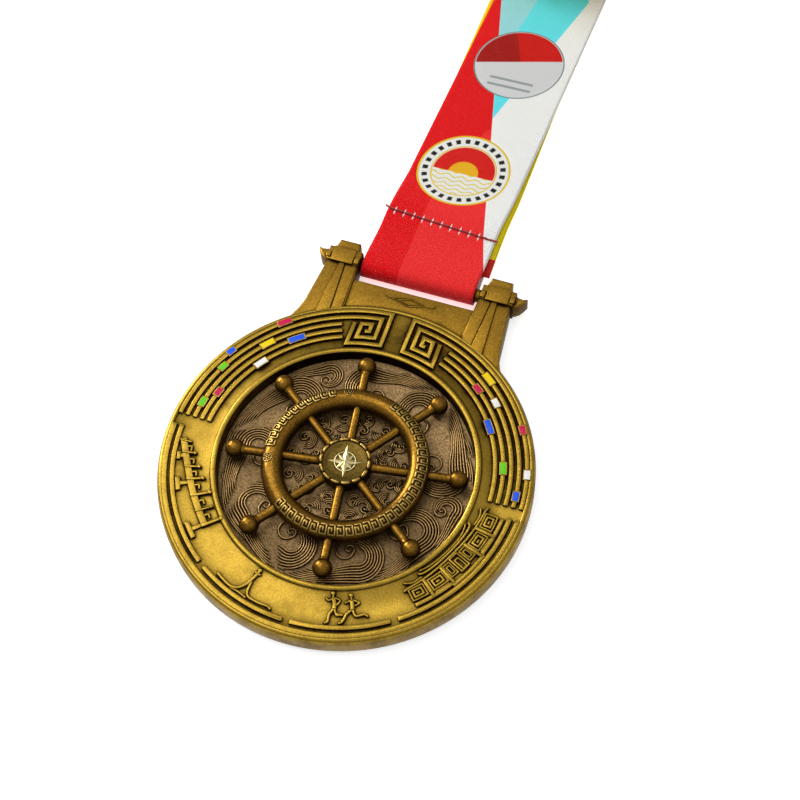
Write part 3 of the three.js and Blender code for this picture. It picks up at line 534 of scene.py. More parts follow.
runner_relief = joined("runner_relief", figures)


def bay(middle, width, outer_radius, inner_radius, wall):
    """A window or door: a frame round an opening, as one band shape with a hole."""
    half, turn = width / 2, math.degrees(wall / outer_radius)
    rim = arc(outer_radius, middle - half, middle + half) + arc(inner_radius, middle + half, middle - half)
    half -= turn
    hole = arc(outer_radius - wall, middle - half, middle + half)
    return [rim, hole + arc(inner_radius + wall, middle + half, middle - half)]


pavilion = []
for middle, width in ((316.2, 6.2), (324.3, 6.6), (345.1, 6.6), (353.3, 6.4)):
    pavilion.append(pressed("bay", bay(middle, width, 32.3, 29.6, 0.32), ROOT, FACE + 0.02, 0.09))
    pavilion.append(pressed("window", bay(middle, width - 2.2, 31.8, 30.1, 0.4), ROOT, FACE + 0.06, 0.1))
    pane = arc(31.15, middle - 0.75, middle + 0.75) + arc(30.75, middle + 0.75, middle - 0.75)
    pavilion.append(pressed("pane", [pane], ROOT, FACE - 0.1, 0.06))
for middle, width in ((330.4, 3.4), (339.0, 3.4)):
    pavilion.append(pressed("side_door", bay(middle, width, 32.2, 29.2, 0.3), ROOT, FACE - 0.05, 0.08))
    pavilion.append(pressed("side_pane", bay(middle, width - 1.5, 31.7, 29.8, 0.25), ROOT, FACE, 0.07))
pavilion.append(pressed("door", bay(334.7, 4.4, 32.6, 28.9, 0.34), ROOT, FACE + 0.02, 0.09))
pavilion.append(pressed("door_leaf", bay(334.7, 2.3, 32.4, 29.8, 0.3), ROOT, FACE - 0.05, 0.08))
for degrees in (320.2, 328.2, 341.2, 349.2):
    pavilion.append(
        pressed("column", [rod((degrees, 33.3), (degrees, 29.1), 0.62)], ROOT, FACE + 0.1, 0.1)
    )
for radius, start, stop, width in (
    (33.05, 313.4, 327.6, 0.75), (33.05, 341.8, 356.4, 0.75), (33.45, 327.4, 342, 0.7),
    (32.6, 321.4, 327, 0.3), (32.6, 342.4, 348, 0.3),
):
    pavilion.append(pressed("step", [stroke(arc(radius, start, stop), width)], ROOT, FACE, 0.1))
LOW_ROOF = [
    (311.7, 29.75), (313.2, 29.45), (316, 29.3), (320.2, 29.15), (335, 28.75), (350, 29.15), (354.5, 29.3),
    (357.2, 29.45), (358.8, 29.8),
]
HIGH_ROOF = [(319.8, 27.7), (321.4, 28.1), (326, 28.15), (335, 28.05), (344, 28.1), (348.6, 28), (350, 27.35)]
RIDGE = [(320.9, 27.35), (326.5, 27.6), (335, 27.6), (343.5, 27.6), (349.2, 27.0)]
WINGS = [[(312.9, 28.1), (316, 28.75), (320.5, 28.6)], [(357.6, 28.3), (354.5, 28.8), (349.8, 28.6)]]
for roof, width in ((LOW_ROOF, 0.42), (HIGH_ROOF, 0.42), (RIDGE, 0.3), (WINGS[0], 0.34), (WINGS[1], 0.34)):
    pavilion.append(pressed("roof", [stroke(smooth_path(roof, 4), width)], ROOT, FACE + 0.06, 0.1))
pavilion_relief = joined("pavilion_relief", pavilion)

for relief in (bridge_relief, mast_relief, runner_relief, pavilion_relief):
    relief.data.materials.clear()
    relief.data.materials.append(rubbed_brass)
    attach(relief, "medal")

# ---------------------------------------------------------------------------------------------
# Hanger: a gate of two flared posts with capitals and upturned eaves, a low beam between their
# feet and the round bar that the ribbon goes over. One casting with the disc, less rubbed than
# it, so its faces stay a cloudy olive gold.
# ---------------------------------------------------------------------------------------------

SLOT = 13.4  # half the slot's width
GATE_TOP = medal_high.y / MM
BAR_Y, BAR_Z, BAR = GATE_TOP - 3.8, 2.5, 1.4
CAPITAL_LOW, CAPITAL_HIGH = GATE_TOP - 5.8, GATE_TOP - 2.2
UNDER_RIM = 36.6
BEAM_TOP = DISC + 4.5

sweep = [(24.96, 26.77), (23.75, 28.2), (22.7, 29.9), (21.95, 31.8), (21.4, 34)]
post_foot = arc(UNDER_RIM, math.degrees(math.acos(12.75 / UNDER_RIM)), 47, 3)
post = [(SLOT, CAPITAL_LOW + 0.3)] + post_foot + sweep[1:] + [(SLOT + 6.9, CAPITAL_LOW + 0.3)]
strip = [(16.3, CAPITAL_LOW + 0.2), (15.45, 33.15), (18.15, 31.8), (17.5, CAPITAL_LOW + 0.2)]
inner_facet = [(13.75, CAPITAL_LOW + 0.2), (13.15, 34.1), (15.3, 33.2), (16.15, CAPITAL_LOW + 0.2)]
capital = [(SLOT, CAPITAL_LOW), (20.8, CAPITAL_LOW), (20.8, CAPITAL_HIGH), (SLOT, CAPITAL_HIGH)]
lintel = [(14.7, CAPITAL_LOW - 0.1), (19.7, CAPITAL_LOW - 0.1), (19.7, CAPITAL_HIGH), (14.7, CAPITAL_HIGH)]
inner_lug = [(13.5, CAPITAL_LOW + 0.25), (14.55, CAPITAL_LOW + 0.25), (14.55, 46.9), (13.5, 46.9)]
outer_lug = [(19.85, CAPITAL_LOW + 0.5), (20.9, CAPITAL_LOW + 0.5), (20.9, 46.8), (19.85, 46.8)]
cap_block = [(13.9, 48.3), (19.9, 48.3), (19.55, 49.1), (19.35, 50.0), (19.3, GATE_TOP), (14.7, GATE_TOP),
             (14.6, 50.0), (14.35, 49.1)]
eave = [(20.5, CAPITAL_LOW + 0.1), (21.2, CAPITAL_LOW + 0.2), (22.1, 45.8), (22.75, 46.8), (23.25, 47.9),
        (22.3, 47.55), (21.3, 47.7), (20.5, 48.1)]
hanger_pieces = []
for side in (1, -1):
    for outline, low, high, edge in (
        (post, 0, 4.8, 0.35), (strip, 4.5, 5.1, 0.16), (inner_facet, 4.5, 4.95, 0.12),
        (capital, 0, 5.25, 0.45), (lintel, 4.8, 5.45, 0.25), (inner_lug, 4.8, 5.5, 0.2),
        (outer_lug, 4.8, 5.5, 0.2), (cap_block, 0, 5.0, 0.5), (eave, 0.6, 4.7, 0.4),
    ):
        shape = outline if side > 0 else mirrored(outline)
        hanger_pieces.append(pressed("gate_piece", [shape], low, high, edge, 2))
beam = [(-SLOT - 0.3, 33.2), (SLOT + 0.3, 33.2), (SLOT + 0.3, BEAM_TOP), (-SLOT - 0.3, BEAM_TOP)]
hanger_pieces.append(pressed("beam", [beam], 0, 4.5, 0.35, 2))
diamond = [(-4, 39.85), (0, 38.75), (4, 39.85), (0, 40.9), (-4, 39.85), (0, 38.75)]
small_diamond = [(-2.6, 39.85), (0, 39.2), (2.6, 39.85), (0, 40.5), (-2.6, 39.85)]
scroll = [(-5.6, 40.35), (-4.9, 39.8), (-4, 39.85)]
for outline, width in ((diamond, 0.22), (small_diamond, 0.16), (scroll, 0.2), (mirrored(scroll), 0.2)):
    hanger_pieces.append(pressed("diamond", [stroke(outline, width)], 4.3, 4.66, 0.06))
bpy.ops.object.select_all(action="DESELECT")
bpy.ops.mesh.primitive_cylinder_add(
    vertices=40, radius=BAR * MM, depth=2 * (SLOT + 1) * MM, location=(0, BAR_Y * MM, BAR_Z * MM),
    rotation=(0, math.pi / 2, 0),
)
bpy.ops.object.transform_apply(location=True, rotation=True, scale=True)
hanger_pieces.append(bpy.context.object)
bpy.ops.object.shade_smooth_by_angle(angle=math.radians(35))
hanger = joined("hanger", hanger_pieces)
hanger.data.materials.clear()
hanger.data.materials.append(
    antique_brass(
        "cloudy_antique_brass", "#b98f30", "#8a6422", "#1f1205", polish=0.36, patina_and_shade_reach=0.8, grain=0.3
    )
)
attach(hanger, "medal")

# ---------------------------------------------------------------------------------------------
# Sea on the recess floor: groups of nested wave lines that sweep in from the wall and curl over,
# with smaller curls between the spokes. They are fine rounded ridges cast with the floor.
# ---------------------------------------------------------------------------------------------

placed_waves = []
WAVE_PITCH = 0.6  # from one line of a wave to the next
REST_TURN = 8.5  # the wheel's first spoke, in degrees


def inside(x, y, outline):
    hit = False
    for (ax, ay), (bx, by) in zip(outline, outline[1:] + outline[:1]):
        if (ay > y) != (by > y) and x < (bx - ax) * (y - ay) / (by - ay) + ax:
            hit = not hit
    return hit


def curl_lines(ridges, cx, cy, size, count, pitch, hand, begin, low, high, leads=()):
    """Nested lines that roll over a hollow, from the outermost in. The outermost goes on into a
    little spiral at the tip, the others run out along its back. hand is the way they roll, begin
    the direction of their start in degrees, and leads has each line's points before that. The
    lines show between the radii low and high. Returns the outline of the wave's back."""
    tip = max(0.2 * size, 0.6)
    lean = math.radians(begin + hand * 235)
    shift_x, shift_y = 0.42 * size * math.cos(lean), 0.42 * size * math.sin(lean)
    back = []
    for k in range(count):
        path = list(leads[k]) if leads else []
        last = 1 if k == 0 else 0.62 - 0.035 * k
        for i in range(49):
            share = last * i / 48
            pull = share * share * (3 - 2 * share)
            out = size - k * pitch + (tip - size + k * pitch) * share**1.5
            angle = math.radians(begin + hand * 400 * share)
            path.append(
                (cx + pull * shift_x + out * math.cos(angle), cy + pull * shift_y + out * math.sin(angle))
            )
            if k == 0 and share < 0.6:
                back = list(path)
        for i in range(1, 27 if k == 0 else 0):
            out = tip * (1 - 0.75 * i / 26)
            angle = math.radians(begin + hand * (400 + 400 * i / 26))
            path.append((cx + shift_x + out * math.cos(angle), cy + shift_y + out * math.sin(angle)))
        ridges.append((path, low, high))
    return back


def breaking_wave(ridges, degrees, radius, size, count, hand, run):
    """A wave that runs along the wall for so many degrees, its lines fanning out from one
    point, and then breaks over its curl towards the wheel."""
    cx, cy = on_band(degrees, radius)
    begin = degrees - hand * 12
    leads = []
    for k in range(count):
        turn = math.radians(begin)
        out = size - k * WAVE_PITCH
        stop = Vector((cx + out * math.cos(turn), cy + out * math.sin(turn)))
        heading = Vector((-math.sin(turn), math.cos(turn))) * hand
        start = Vector(on_band(degrees - hand * (run - 1.8 * k), 25.2 - 0.5 * k))
        outset = math.radians(degrees - hand * run)
        setting_out = Vector((-math.sin(outset), math.cos(outset))) * hand
        reach = (stop - start).length
        lead = []
        for i in range(26):
            t = i / 26
            point = (
                start * (2 * t**3 - 3 * t**2 + 1) + stop * (3 * t**2 - 2 * t**3)
                + setting_out * reach * (t**3 - 2 * t**2 + t) + heading * reach * 0.9 * (t**3 - t**2)
            )
            lead.append((point.x, point.y))
        leads.append(lead)
    return curl_lines(ridges, cx, cy, size, count, WAVE_PITCH, hand, begin, 12.6, 25.35, leads)


ridge_lines = []
for group in (
    (14, 18.6, 5.6, 7, -1, 40), (60, 18.9, 5.4, 6, 1, 36), (97, 18.8, 5.2, 6, 1, 34),
    (139, 18.7, 5.6, 7, -1, 38), (180, 18.7, 5.5, 7, -1, 39), (219, 18.9, 5.3, 6, -1, 38),
    (256, 18.6, 5.6, 7, 1, 39), (297, 18.8, 5.5, 7, 1, 38), (334, 18.7, 5.3, 6, 1, 36),
    (36, 21.6, 3.0, 4, 1, 26), (118, 22.0, 2.8, 4, -1, 24), (160, 21.8, 2.9, 4, -1, 24),
    (200, 21.8, 2.9, 4, -1, 24), (238, 21.6, 2.8, 4, 1, 24), (277, 21.8, 3.0, 4, 1, 24),
    (316, 21.8, 2.9, 4, 1, 24), (355, 21.8, 2.9, 4, 1, 24), (79, 21.8, 2.9, 4, 1, 22),
):
    lines_here = []
    hull = breaking_wave(lines_here, *group)
    ridge_lines += [(path, low, high, list(placed_waves)) for path, low, high in lines_here]
    placed_waves.append(hull)
placed_waves = []
for spoke in range(8):
    middle = REST_TURN + 45 * spoke + 22.5
    for shift, radius, size, count, hand in (
        (-9, 10.6, 2.0, 4, 1), (11, 8.6, 1.8, 3, -1), (1, 6.9, 1.3, 2, 1), (13, 11.6, 1.5, 3, 1)
    ):
        lines_here = []
        cx, cy = on_band(middle + shift, radius)
        hull = curl_lines(lines_here, cx, cy, size, count, 0.44, hand, middle + 100 * hand, 5.4, 13.4)
        ridge_lines += [(path, low, high, list(placed_waves)) for path, low, high in lines_here]
        placed_waves.append(hull)

sea = bpy.data.curves.new("sea_relief", "CURVE")
sea.dimensions = "3D"
sea.bevel_depth = 0.21 * MM
sea.bevel_resolution = 1
for path, low, high, covers in ridge_lines:
    run = []
    for x, y in path + [(999, 999)]:
        out_from_axis = math.hypot(x, y)
        shown = low < out_from_axis < high and not any(inside(x, y, hull) for hull in covers)
        if shown:
            run.append((x, y))
            continue
        if len(run) > 5:
            spline = sea.splines.new("POLY")
            spline.points.add(len(run) - 1)
            for i, (point, (px, py)) in enumerate(zip(spline.points, run)):
                point.co = (px * MM, py * MM, (FLOOR + 0.16) * MM, 1)
                point.radius = min(1, 0.4 + 0.12 * min(i, len(run) - 1 - i))
        run = []
waves = as_mesh("sea_relief", sea)
work_on(waves)
bpy.ops.mesh.select_all(action="SELECT")
bpy.ops.mesh.normals_make_consistent(inside=False)
put_down(waves, 70)
# Wave lines: their sides are painted dark as shade in the grooves, and their pale brass also stands in for
# glints on the crests.
waves.data.materials.append(
    antique_brass(
        "wave_bronze", "#c9a26a", "#8c6d40", "#100803", polish=0.3, patina_and_shade_reach=0.3, grain=0.1, painted_side_shade=0.9
    )
)
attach(waves, "medal")

# ---------------------------------------------------------------------------------------------
# Ship's wheel: one casting of a round ring, eight spokes with ball ends and a cupped hub with a
# notched lip. It turns on the post between washer and rivet. The ring carries a raised key fret
# and two rosettes. It is left darker than the disc; its high curves are rubbed to gold, and its
# upright curves carry painted shade.
# ---------------------------------------------------------------------------------------------

WHEEL_Z, RING, TUBE, UNDERSIDE = 4.7, 14.6, 2.2, 2.85
SPOKE, BALL, BALL_CIRCLE = 0.95, 1.95, 22.5
HUB, HUB_LOW, HUB_HIGH = 5.2, 3.05, 6.4


def on_ring(piece, start, out_at=70):
    """Bends a flat piece drawn along x (clockwise round the ring) and y (outwards) on to the
    ring's tube, with y = 0 at out_at degrees up the tube's outer side."""
    for vertex in piece.data.vertices:
        x, y, z = vertex.co / MM
        up = math.radians(out_at) - y / TUBE
        turn = math.radians(start) - x / (RING + TUBE * math.cos(math.radians(out_at)))
        out = RING + (TUBE + z) * math.cos(up)
        height = WHEEL_Z + (TUBE + z) * math.sin(up)
        vertex.co = Vector((out * math.cos(turn), out * math.sin(turn), height)) * MM
    return piece


def fine(points, longest=0.32):
    """The same line with extra points, so that it can bend."""
    made = [points[0]]
    for start, stop in zip(points, points[1:]):
        pieces = max(1, math.ceil(math.dist(start, stop) / longest))
        for i in range(1, pieces + 1):
            made.append(tuple(start[k] + (stop[k] - start[k]) * i / pieces for k in (0, 1)))
    return made


section = []
for i in range(37):
    turn = 2 * math.pi * i / 36
    section.append((RING + TUBE * math.cos(turn), max(WHEEL_Z + TUBE * math.sin(turn), UNDERSIDE)))
wheel_pieces = [turned("ring", section, 144)]

CELL = 1.72
KEY = [(0, -0.9), (0, 0.9), (1.22, 0.9), (1.22, -0.32), (0.62, -0.32), (0.62, 0.3)]
for start, cells in ((62, 31), (177, 11)):
    keys = []
    for cell in range(cells):
        keys.append(stroke(fine([(x + cell * CELL, y) for x, y in KEY]), 0.33))
        foot = [(cell * CELL, -0.92), (cell * CELL + 1.25, -0.92)]
        keys.append(stroke(fine(foot), 0.3))
    for i, key in enumerate(keys):
        wheel_pieces.append(on_ring(pressed("key", [key], -0.15, 0.27, 0.08), start))
for degrees in (98, 187):
    rosette_edge = spot(0, 0, 0.92, 24)
    flower = stroke(fine(rosette_edge + rosette_edge[:1]), 0.18)
    wheel_pieces.append(on_ring(pressed("rosette_edge", [flower], -0.15, 0.14, 0.05), degrees))
    for petal in range(6):
        turn = petal * math.pi / 3
        leaf = spot(0.52 * math.cos(turn), 0.52 * math.sin(turn), 0.17, 8)
        wheel_pieces.append(on_ring(pressed("petal", [leaf], -0.15, 0.14, 0.06), degrees))
    wheel_pieces.append(on_ring(pressed("eye", [spot(0, 0, 0.2, 8)], -0.15, 0.18, 0.06), degrees))

for spoke in range(8):
    turn = Matrix.Rotation(math.radians(45 * spoke), 4, "Z")
    # The rod of the spoke, and the collar that its ball sits in.
    for place, inner, outer, length in ((12.9, SPOKE, SPOKE, 16.6), (BALL_CIRCLE - 1.85, 0.96, 1.15, 0.6)):
        bpy.ops.object.select_all(action="DESELECT")
        bpy.ops.mesh.primitive_cone_add(
            vertices=28, radius1=inner * MM, radius2=outer * MM, depth=length * MM,
            location=turn @ Vector((place * MM, 0, WHEEL_Z * MM)),
            rotation=(0, math.pi / 2, math.radians(45 * spoke)),
        )
        wheel_pieces.append(bpy.context.object)
        bpy.ops.object.transform_apply(location=True, rotation=True, scale=True)
        bpy.ops.object.shade_smooth_by_angle(angle=math.radians(40))
    bpy.ops.object.select_all(action="DESELECT")
    bpy.ops.mesh.primitive_uv_sphere_add(
        segments=32, ring_count=20, radius=BALL * MM,
        location=turn @ Vector((BALL_CIRCLE * MM, 0, WHEEL_Z * MM)),
    )
    wheel_pieces.append(bpy.context.object)
    bpy.ops.object.transform_apply(location=True, rotation=True, scale=True)
    bpy.ops.object.shade_smooth()

hub = turned(
    "hub",
    [(2.3, HUB_LOW), (4.9, HUB_LOW), (HUB, 3.35), (HUB, 6.0), (5.12, 6.25), (4.95, 6.38), (4.75, HUB_HIGH),
     (4.6, 6.33), (4.52, 6.15), (4.5, 5.95), (4.5, 5.52), (3.5, 5.52), (3.5, 4.35), (2.3, 4.35),
     (2.3, HUB_LOW)],
    112,
)
for vertex in hub.data.vertices:
    out = math.hypot(vertex.co.x, vertex.co.y) / MM
    if out > 4.55 and vertex.co.z > 5.9 * MM:
        # Fourteen notches are filed across the lip.
        lobe = abs(math.cos(7 * math.atan2(vertex.co.y, vertex.co.x)))
        vertex.co.z -= 0.42 * (1 - lobe) ** 2.5 * MM
        shrink = 1 - 0.035 * (1 - lobe) ** 2.5 * (out > 4.9)
        vertex.co.x *= shrink
        vertex.co.y *= shrink
wheel_pieces.append(hub)
ship_wheel = joined("ships_wheel", wheel_pieces)
work_on(ship_wheel)
bpy.ops.mesh.select_all(action="SELECT")
bpy.ops.transform.rotate(value=math.radians(-REST_TURN), orient_axis="Z", center_override=(0, 0, 0))
put_down(ship_wheel, 40)
ship_wheel.data.materials.clear()
ship_wheel.data.materials.append(
    antique_brass(
        "dark_antique_brass", "#a87c2c", "#684616", "#120a03", polish=0.24, patina_and_shade_reach=0.9, grain=0.04,
        painted_side_shade=0.8,
    )
)
ship_wheel.data.materials.append(
    antique_brass(
        "bright_lip_brass", "#d2b062", "#9c7730", "#1c1005", polish=0.26, patina_and_shade_reach=0.3, grain=0.1,
        painted_side_shade=0.7,
    )
)
# The key fret, rosettes and the hub's notched lip take the paler brass: rubbed high points, and on the lip
# also a painted highlight.
for face in ship_wheel.data.polygons:
    out = math.hypot(face.center.x, face.center.y) / MM
    height = face.center.z / MM
    on_tube = math.hypot(out - RING, height - WHEEL_Z) > TUBE + 0.1 and 12 < out < 17.2
    face.material_index = int(on_tube or (4.5 < out < HUB and height > 6.1))
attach(ship_wheel, "wheel")
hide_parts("ship_wheel")

# ---------------------------------------------------------------------------------------------
# Hub cap: a thin dished disc pressed into the hub, with a raised compass rose of folded points
# that is left bright.
# ---------------------------------------------------------------------------------------------

cap = turned(
    "emblem_cap",
    [(0, 5.55), (4.42, 5.55), (4.5, 5.62), (4.5, 5.98), (4.42, 6.05), (4.05, 6.03), (3.8, 5.94), (3, 5.87),
     (2, 5.82), (1, 5.8), (0, 5.8)],
    72,
)
rose = []
for i in range(8):
    length, width = (3.5, 0.62) if i % 2 == 0 else (2.35, 0.5)
    turn = math.radians(45 * i + 12)
    corners = [(length, 0, 5.93), (0.8, width, 5.84), (0, 0, 6.12), (0.8, -width, 5.84)]
    ray = bpy.data.meshes.new("ray")
    ray.from_pydata([Vector(c) * MM for c in corners], [], [(0, 1, 2), (0, 2, 3), (0, 3, 1), (1, 3, 2)])
    star = bpy.data.objects.new("ray", ray)
    bpy.context.scene.collection.objects.link(star)
    work_on(star)
    bpy.ops.mesh.select_all(action="SELECT")
    bpy.ops.transform.rotate(value=-turn, orient_axis="Z", center_override=(0, 0, 0))
    bpy.ops.mesh.normals_make_consistent(inside=False)
    rose.append(put_down(star, 5))
circle = [(2.1 * math.cos(math.radians(t)), 2.1 * math.sin(math.radians(t))) for t in range(0, 363, 6)]
rose.append(pressed("rose_circle", [stroke(circle, 0.2)], 5.7, 5.98, 0.05))
compass_rose = joined("compass_rose", rose)
compass_rose.data.materials.clear()
compass_rose.data.materials.append(
    antique_brass(
        "polished_rose_brass", "#f2e2ac", "#cdb46c", "#3a2a10", polish=0.2, patina_and_shade_reach=0.2, grain=0.05,
        painted_side_shade=0.1,
    )
)
cap.data.materials.append(
    antique_brass(
        "dished_cap_brass", "#76602a", "#4a3815", "#120a03", polish=0.3, patina_and_shade_reach=0.6, grain=0.1,
        painted_side_shade=0.4,
    )
)
emblem_cap = joined("emblem_cap", [cap, compass_rose])
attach(emblem_cap, "wheel")
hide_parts("hub_cap")

# Pivot rivet and spacer washer: turned brass, hidden under the cap and hub, left as they are.
for name in ("pivot_rivet", "spacer_washer"):
    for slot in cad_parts[name].material_slots:
        slot.material = rubbed_brass

# ---------------------------------------------------------------------------------------------
# Neck ribbon: one satin strip 25 mm wide, printed on both faces. It goes round the bar, is sewn
# down in three layers, and both tails run along the ground to a roll.
# ---------------------------------------------------------------------------------------------

STRIP, STRIP_THICK, LAYER = 25, 0.5, 0.8
SEAM_Y, ROLL_Y = BAR_Y + 15, BAR_Y + 100.1
GROUND, LOW_LAYER = 0.3, 1.0
EYE = BAR + 0.6
ROLL_PITCH, ROLL_CORE = 1.9, 3.5
ROLL_RADIUS = math.sqrt(ROLL_CORE**2 + 319.9 * ROLL_PITCH / math.pi)


def settle(from_y, from_z, to_y, to_z, back, steps):
    made = []
    for i in range(steps + 1):
        t = i / steps
        made.append((from_y + (to_y - from_y) * t, from_z + (to_z - from_z) * t * t * (3 - 2 * t), back))
    return made


def roll_turns(offset):
    turns = (ROLL_RADIUS - ROLL_CORE) / ROLL_PITCH
    steps = math.ceil(turns * 38)
    centre = ROLL_RADIUS + (LAYER + 0.6) / 2
    made = []
    for i in range(steps + 1):
        turn = turns * i / steps
        radius = ROLL_RADIUS - ROLL_PITCH * turn + offset * LAYER / 2
        angle = 2 * math.pi * turn - math.pi / 2
        meeting = (1 - min(1, turns - turn)) / 2
        back = 1 - meeting if offset > 0 else meeting
        made.append((ROLL_Y + radius * math.cos(angle), centre + radius * math.sin(angle), back))
    return made


flat_from, flat_to = SEAM_Y - 2.5, SEAM_Y + 2.5
settled = flat_to + 11.5
eye_turn = [
    (BAR_Y - EYE * math.sin(math.pi * i / 16), BAR_Z - EYE * math.cos(math.pi * i / 16), 0) for i in range(17)
]
inner_tail, outer_tail = roll_turns(-1), roll_turns(1)[::-1]
core = []
(y0, z0, _), (y1, z1, _) = inner_tail[-1], outer_tail[0]
for i in range(1, 8):
    turn = math.pi * i / 8
    radial, along = -math.cos(turn), math.sin(turn)
    half_y, half_z = (y1 - y0) / 2, (z1 - z0) / 2
    core_y = (y0 + y1) / 2 + radial * half_y - along * half_z
    core_z = (z0 + z1) / 2 + radial * half_z + along * half_y
    core.append((core_y, core_z, 0.5))
top_layer = LOW_LAYER + 2 * LAYER
route = (
    settle(SEAM_Y + 4, LOW_LAYER, flat_from, LOW_LAYER, 0, 6)
    + settle(flat_from, LOW_LAYER, BAR_Y, BAR_Z - EYE, 0, 16)[1:-1]
    + eye_turn
    + settle(BAR_Y, BAR_Z + EYE, flat_from, top_layer, 0, 18)[1:]
    + settle(flat_from, top_layer, flat_to, top_layer, 0, 10)[1:]
    + settle(flat_to, top_layer, settled, GROUND + LAYER, 0, 14)[1:]
    + settle(settled, GROUND + LAYER, inner_tail[0][0], inner_tail[0][1], 0, 84)[1:-1]
    + inner_tail + core + outer_tail
    + settle(outer_tail[-1][0], outer_tail[-1][1], settled, GROUND, 1, 60)[1:]
    + settle(settled, GROUND, flat_to, LOW_LAYER + LAYER, 1, 14)[1:]
    + settle(flat_to, LOW_LAYER + LAYER, BAR_Y + 5.5, LOW_LAYER + LAYER, 1, 14)[1:]
)
bar_top = 6 + 15 + 17 - 1
roll_from = next(i for i, (y, z, back) in enumerate(route) if y >= ROLL_Y)
roll_to = max(i for i, (y, z, back) in enumerate(route) if y >= ROLL_Y)
lengths = [0]
for (ay, az, _), (by, bz, _) in zip(route, route[1:]):
    lengths.append(lengths[-1] + math.hypot(by - ay, bz - az))


def strip_shift(y, back):
    run = min(max(y, SEAM_Y), ROLL_Y) - SEAM_Y
    drift = 1.3 - 3.1 * run / (ROLL_Y - SEAM_Y)
    return -0.4 + run * math.tan(math.radians(3.2)) + back * drift


corners = []
for i, (y, z, back) in enumerate(route):
    shift = strip_shift(ROLL_Y if roll_from <= i <= roll_to else y, back)
    corners.append(((shift - STRIP / 2) * MM, y * MM, z * MM))
ribbon = from_lines("satin_ribbon", corners, [(i, i + 1) for i in range(len(corners) - 1)])
rows = ribbon.data.attributes.new("row", "FLOAT", "POINT")
left_edge = ribbon.data.attributes.new("left_edge", "FLOAT", "POINT")
for i, corner in enumerate(corners):
    rows.data[i].value = lengths[i] - lengths[bar_top]
    left_edge.data[i].value = corner[0] / MM
work_on(ribbon)
bpy.ops.mesh.select_all(action="SELECT")
COLUMNS = 40
for column in range(COLUMNS):
    bpy.ops.mesh.extrude_edges_move(TRANSFORM_OT_translate={"value": (STRIP / COLUMNS * MM, 0, 0)})
bpy.ops.mesh.select_all(action="SELECT")
bpy.ops.mesh.normals_make_consistent(inside=False)
put_down(ribbon, 60)

along_strip = [item.value for item in ribbon.data.attributes["row"].data]
edge_at = [item.value for item in ribbon.data.attributes["left_edge"].data]
SEAM_SLANT = math.radians(-4.3)
STITCH, FIRST_STITCH = 2.17, -10.85
hole_places = [FIRST_STITCH + STITCH * k for k in range(11)]
needle_holes = [(-0.4 + x * math.cos(SEAM_SLANT), SEAM_Y + x * math.sin(SEAM_SLANT)) for x in hole_places]
flat_uv = ribbon.data.uv_layers.new(name="millimetres")
for loop in ribbon.data.loops:
    vertex = ribbon.data.vertices[loop.vertex_index]
    flat_uv.data[loop.index].uv = (
        vertex.co.x / MM - edge_at[vertex.index] - STRIP / 2, along_strip[vertex.index]
    )
for vertex in ribbon.data.vertices:
    x, y, z = vertex.co / MM
    if abs(along_strip[vertex.index] - 15) < 5:
        # The stitches draw small dimples in the upper layer.
        pull = sum(math.exp(-((x - hx) ** 2 / 0.5 + (y - hy) ** 2 / 1.1)) for hx, hy in needle_holes)
        vertex.co.z -= 0.16 * min(pull, 1) * MM


def side_of(tree, place, start, stop):
    """1 to the left of the line from start to stop (mm on the strip), 0 to its right."""
    across = Vector((start[1] - stop[1], stop[0] - start[0])).normalized()
    reach = node(
        tree, "VectorMath", {0: place, 1: (across.x, across.y, 0)}, out="Value", operation="DOT_PRODUCT"
    )
    start_reach = across.x * start[0] + across.y * start[1]
    return node(
        tree, "Math", {0: reach, 1: 7, 2: 0.5 - 7 * start_reach}, operation="MULTIPLY_ADD", use_clamp=True
    )


def both(tree, *masks):
    made = masks[0]
    for mask in masks[1:]:
        made = node(tree, "Math", {0: made, 1: mask}, operation="MULTIPLY")
    return made


def within(tree, place, centre, size):
    """1 inside a round spot, 0 outside."""
    away = node(tree, "VectorMath", {0: place, 1: (*centre, 0)}, out="Value", operation="DISTANCE")
    return node(tree, "Math", {0: away, 1: -8, 2: 0.5 + 8 * size}, operation="MULTIPLY_ADD", use_clamp=True)


def outside(tree, mask):
    return node(tree, "Math", {0: 1, 1: mask}, operation="SUBTRACT")


def printed(tree, below, mask, ink):
    """One ink over the ones below it."""
    top = colour(ink)
    return node(tree, "Mix", {0: mask, 6: below, 7: top}, out=2, data_type="RGBA")


def dashes(tree, place, centre, count, filled):
    """1 on count dashes round a centre, each filling its share of the turn."""
    away = node(tree, "VectorMath", {0: place, 1: (centre[0], centre[1], 0)}, operation="SUBTRACT")
    x = node(tree, "SeparateXYZ", {0: away}, out="X")
    y = node(tree, "SeparateXYZ", {0: away}, out="Y")
    turn = node(tree, "Math", {0: y, 1: x}, operation="ARCTAN2")
    beats = node(tree, "Math", {0: turn, 1: count / math.pi / 2, 2: 40}, operation="MULTIPLY_ADD")
    part = node(tree, "Math", {0: beats}, operation="FRACT")
    near = node(tree, "Math", {0: part, 1: 0.5}, operation="SUBTRACT")
    near = node(tree, "Math", {0: near}, operation="ABSOLUTE")
    return node(
        tree, "Math", {0: near, 1: -12, 2: 0.5 + 6 * filled}, operation="MULTIPLY_ADD", use_clamp=True
    )


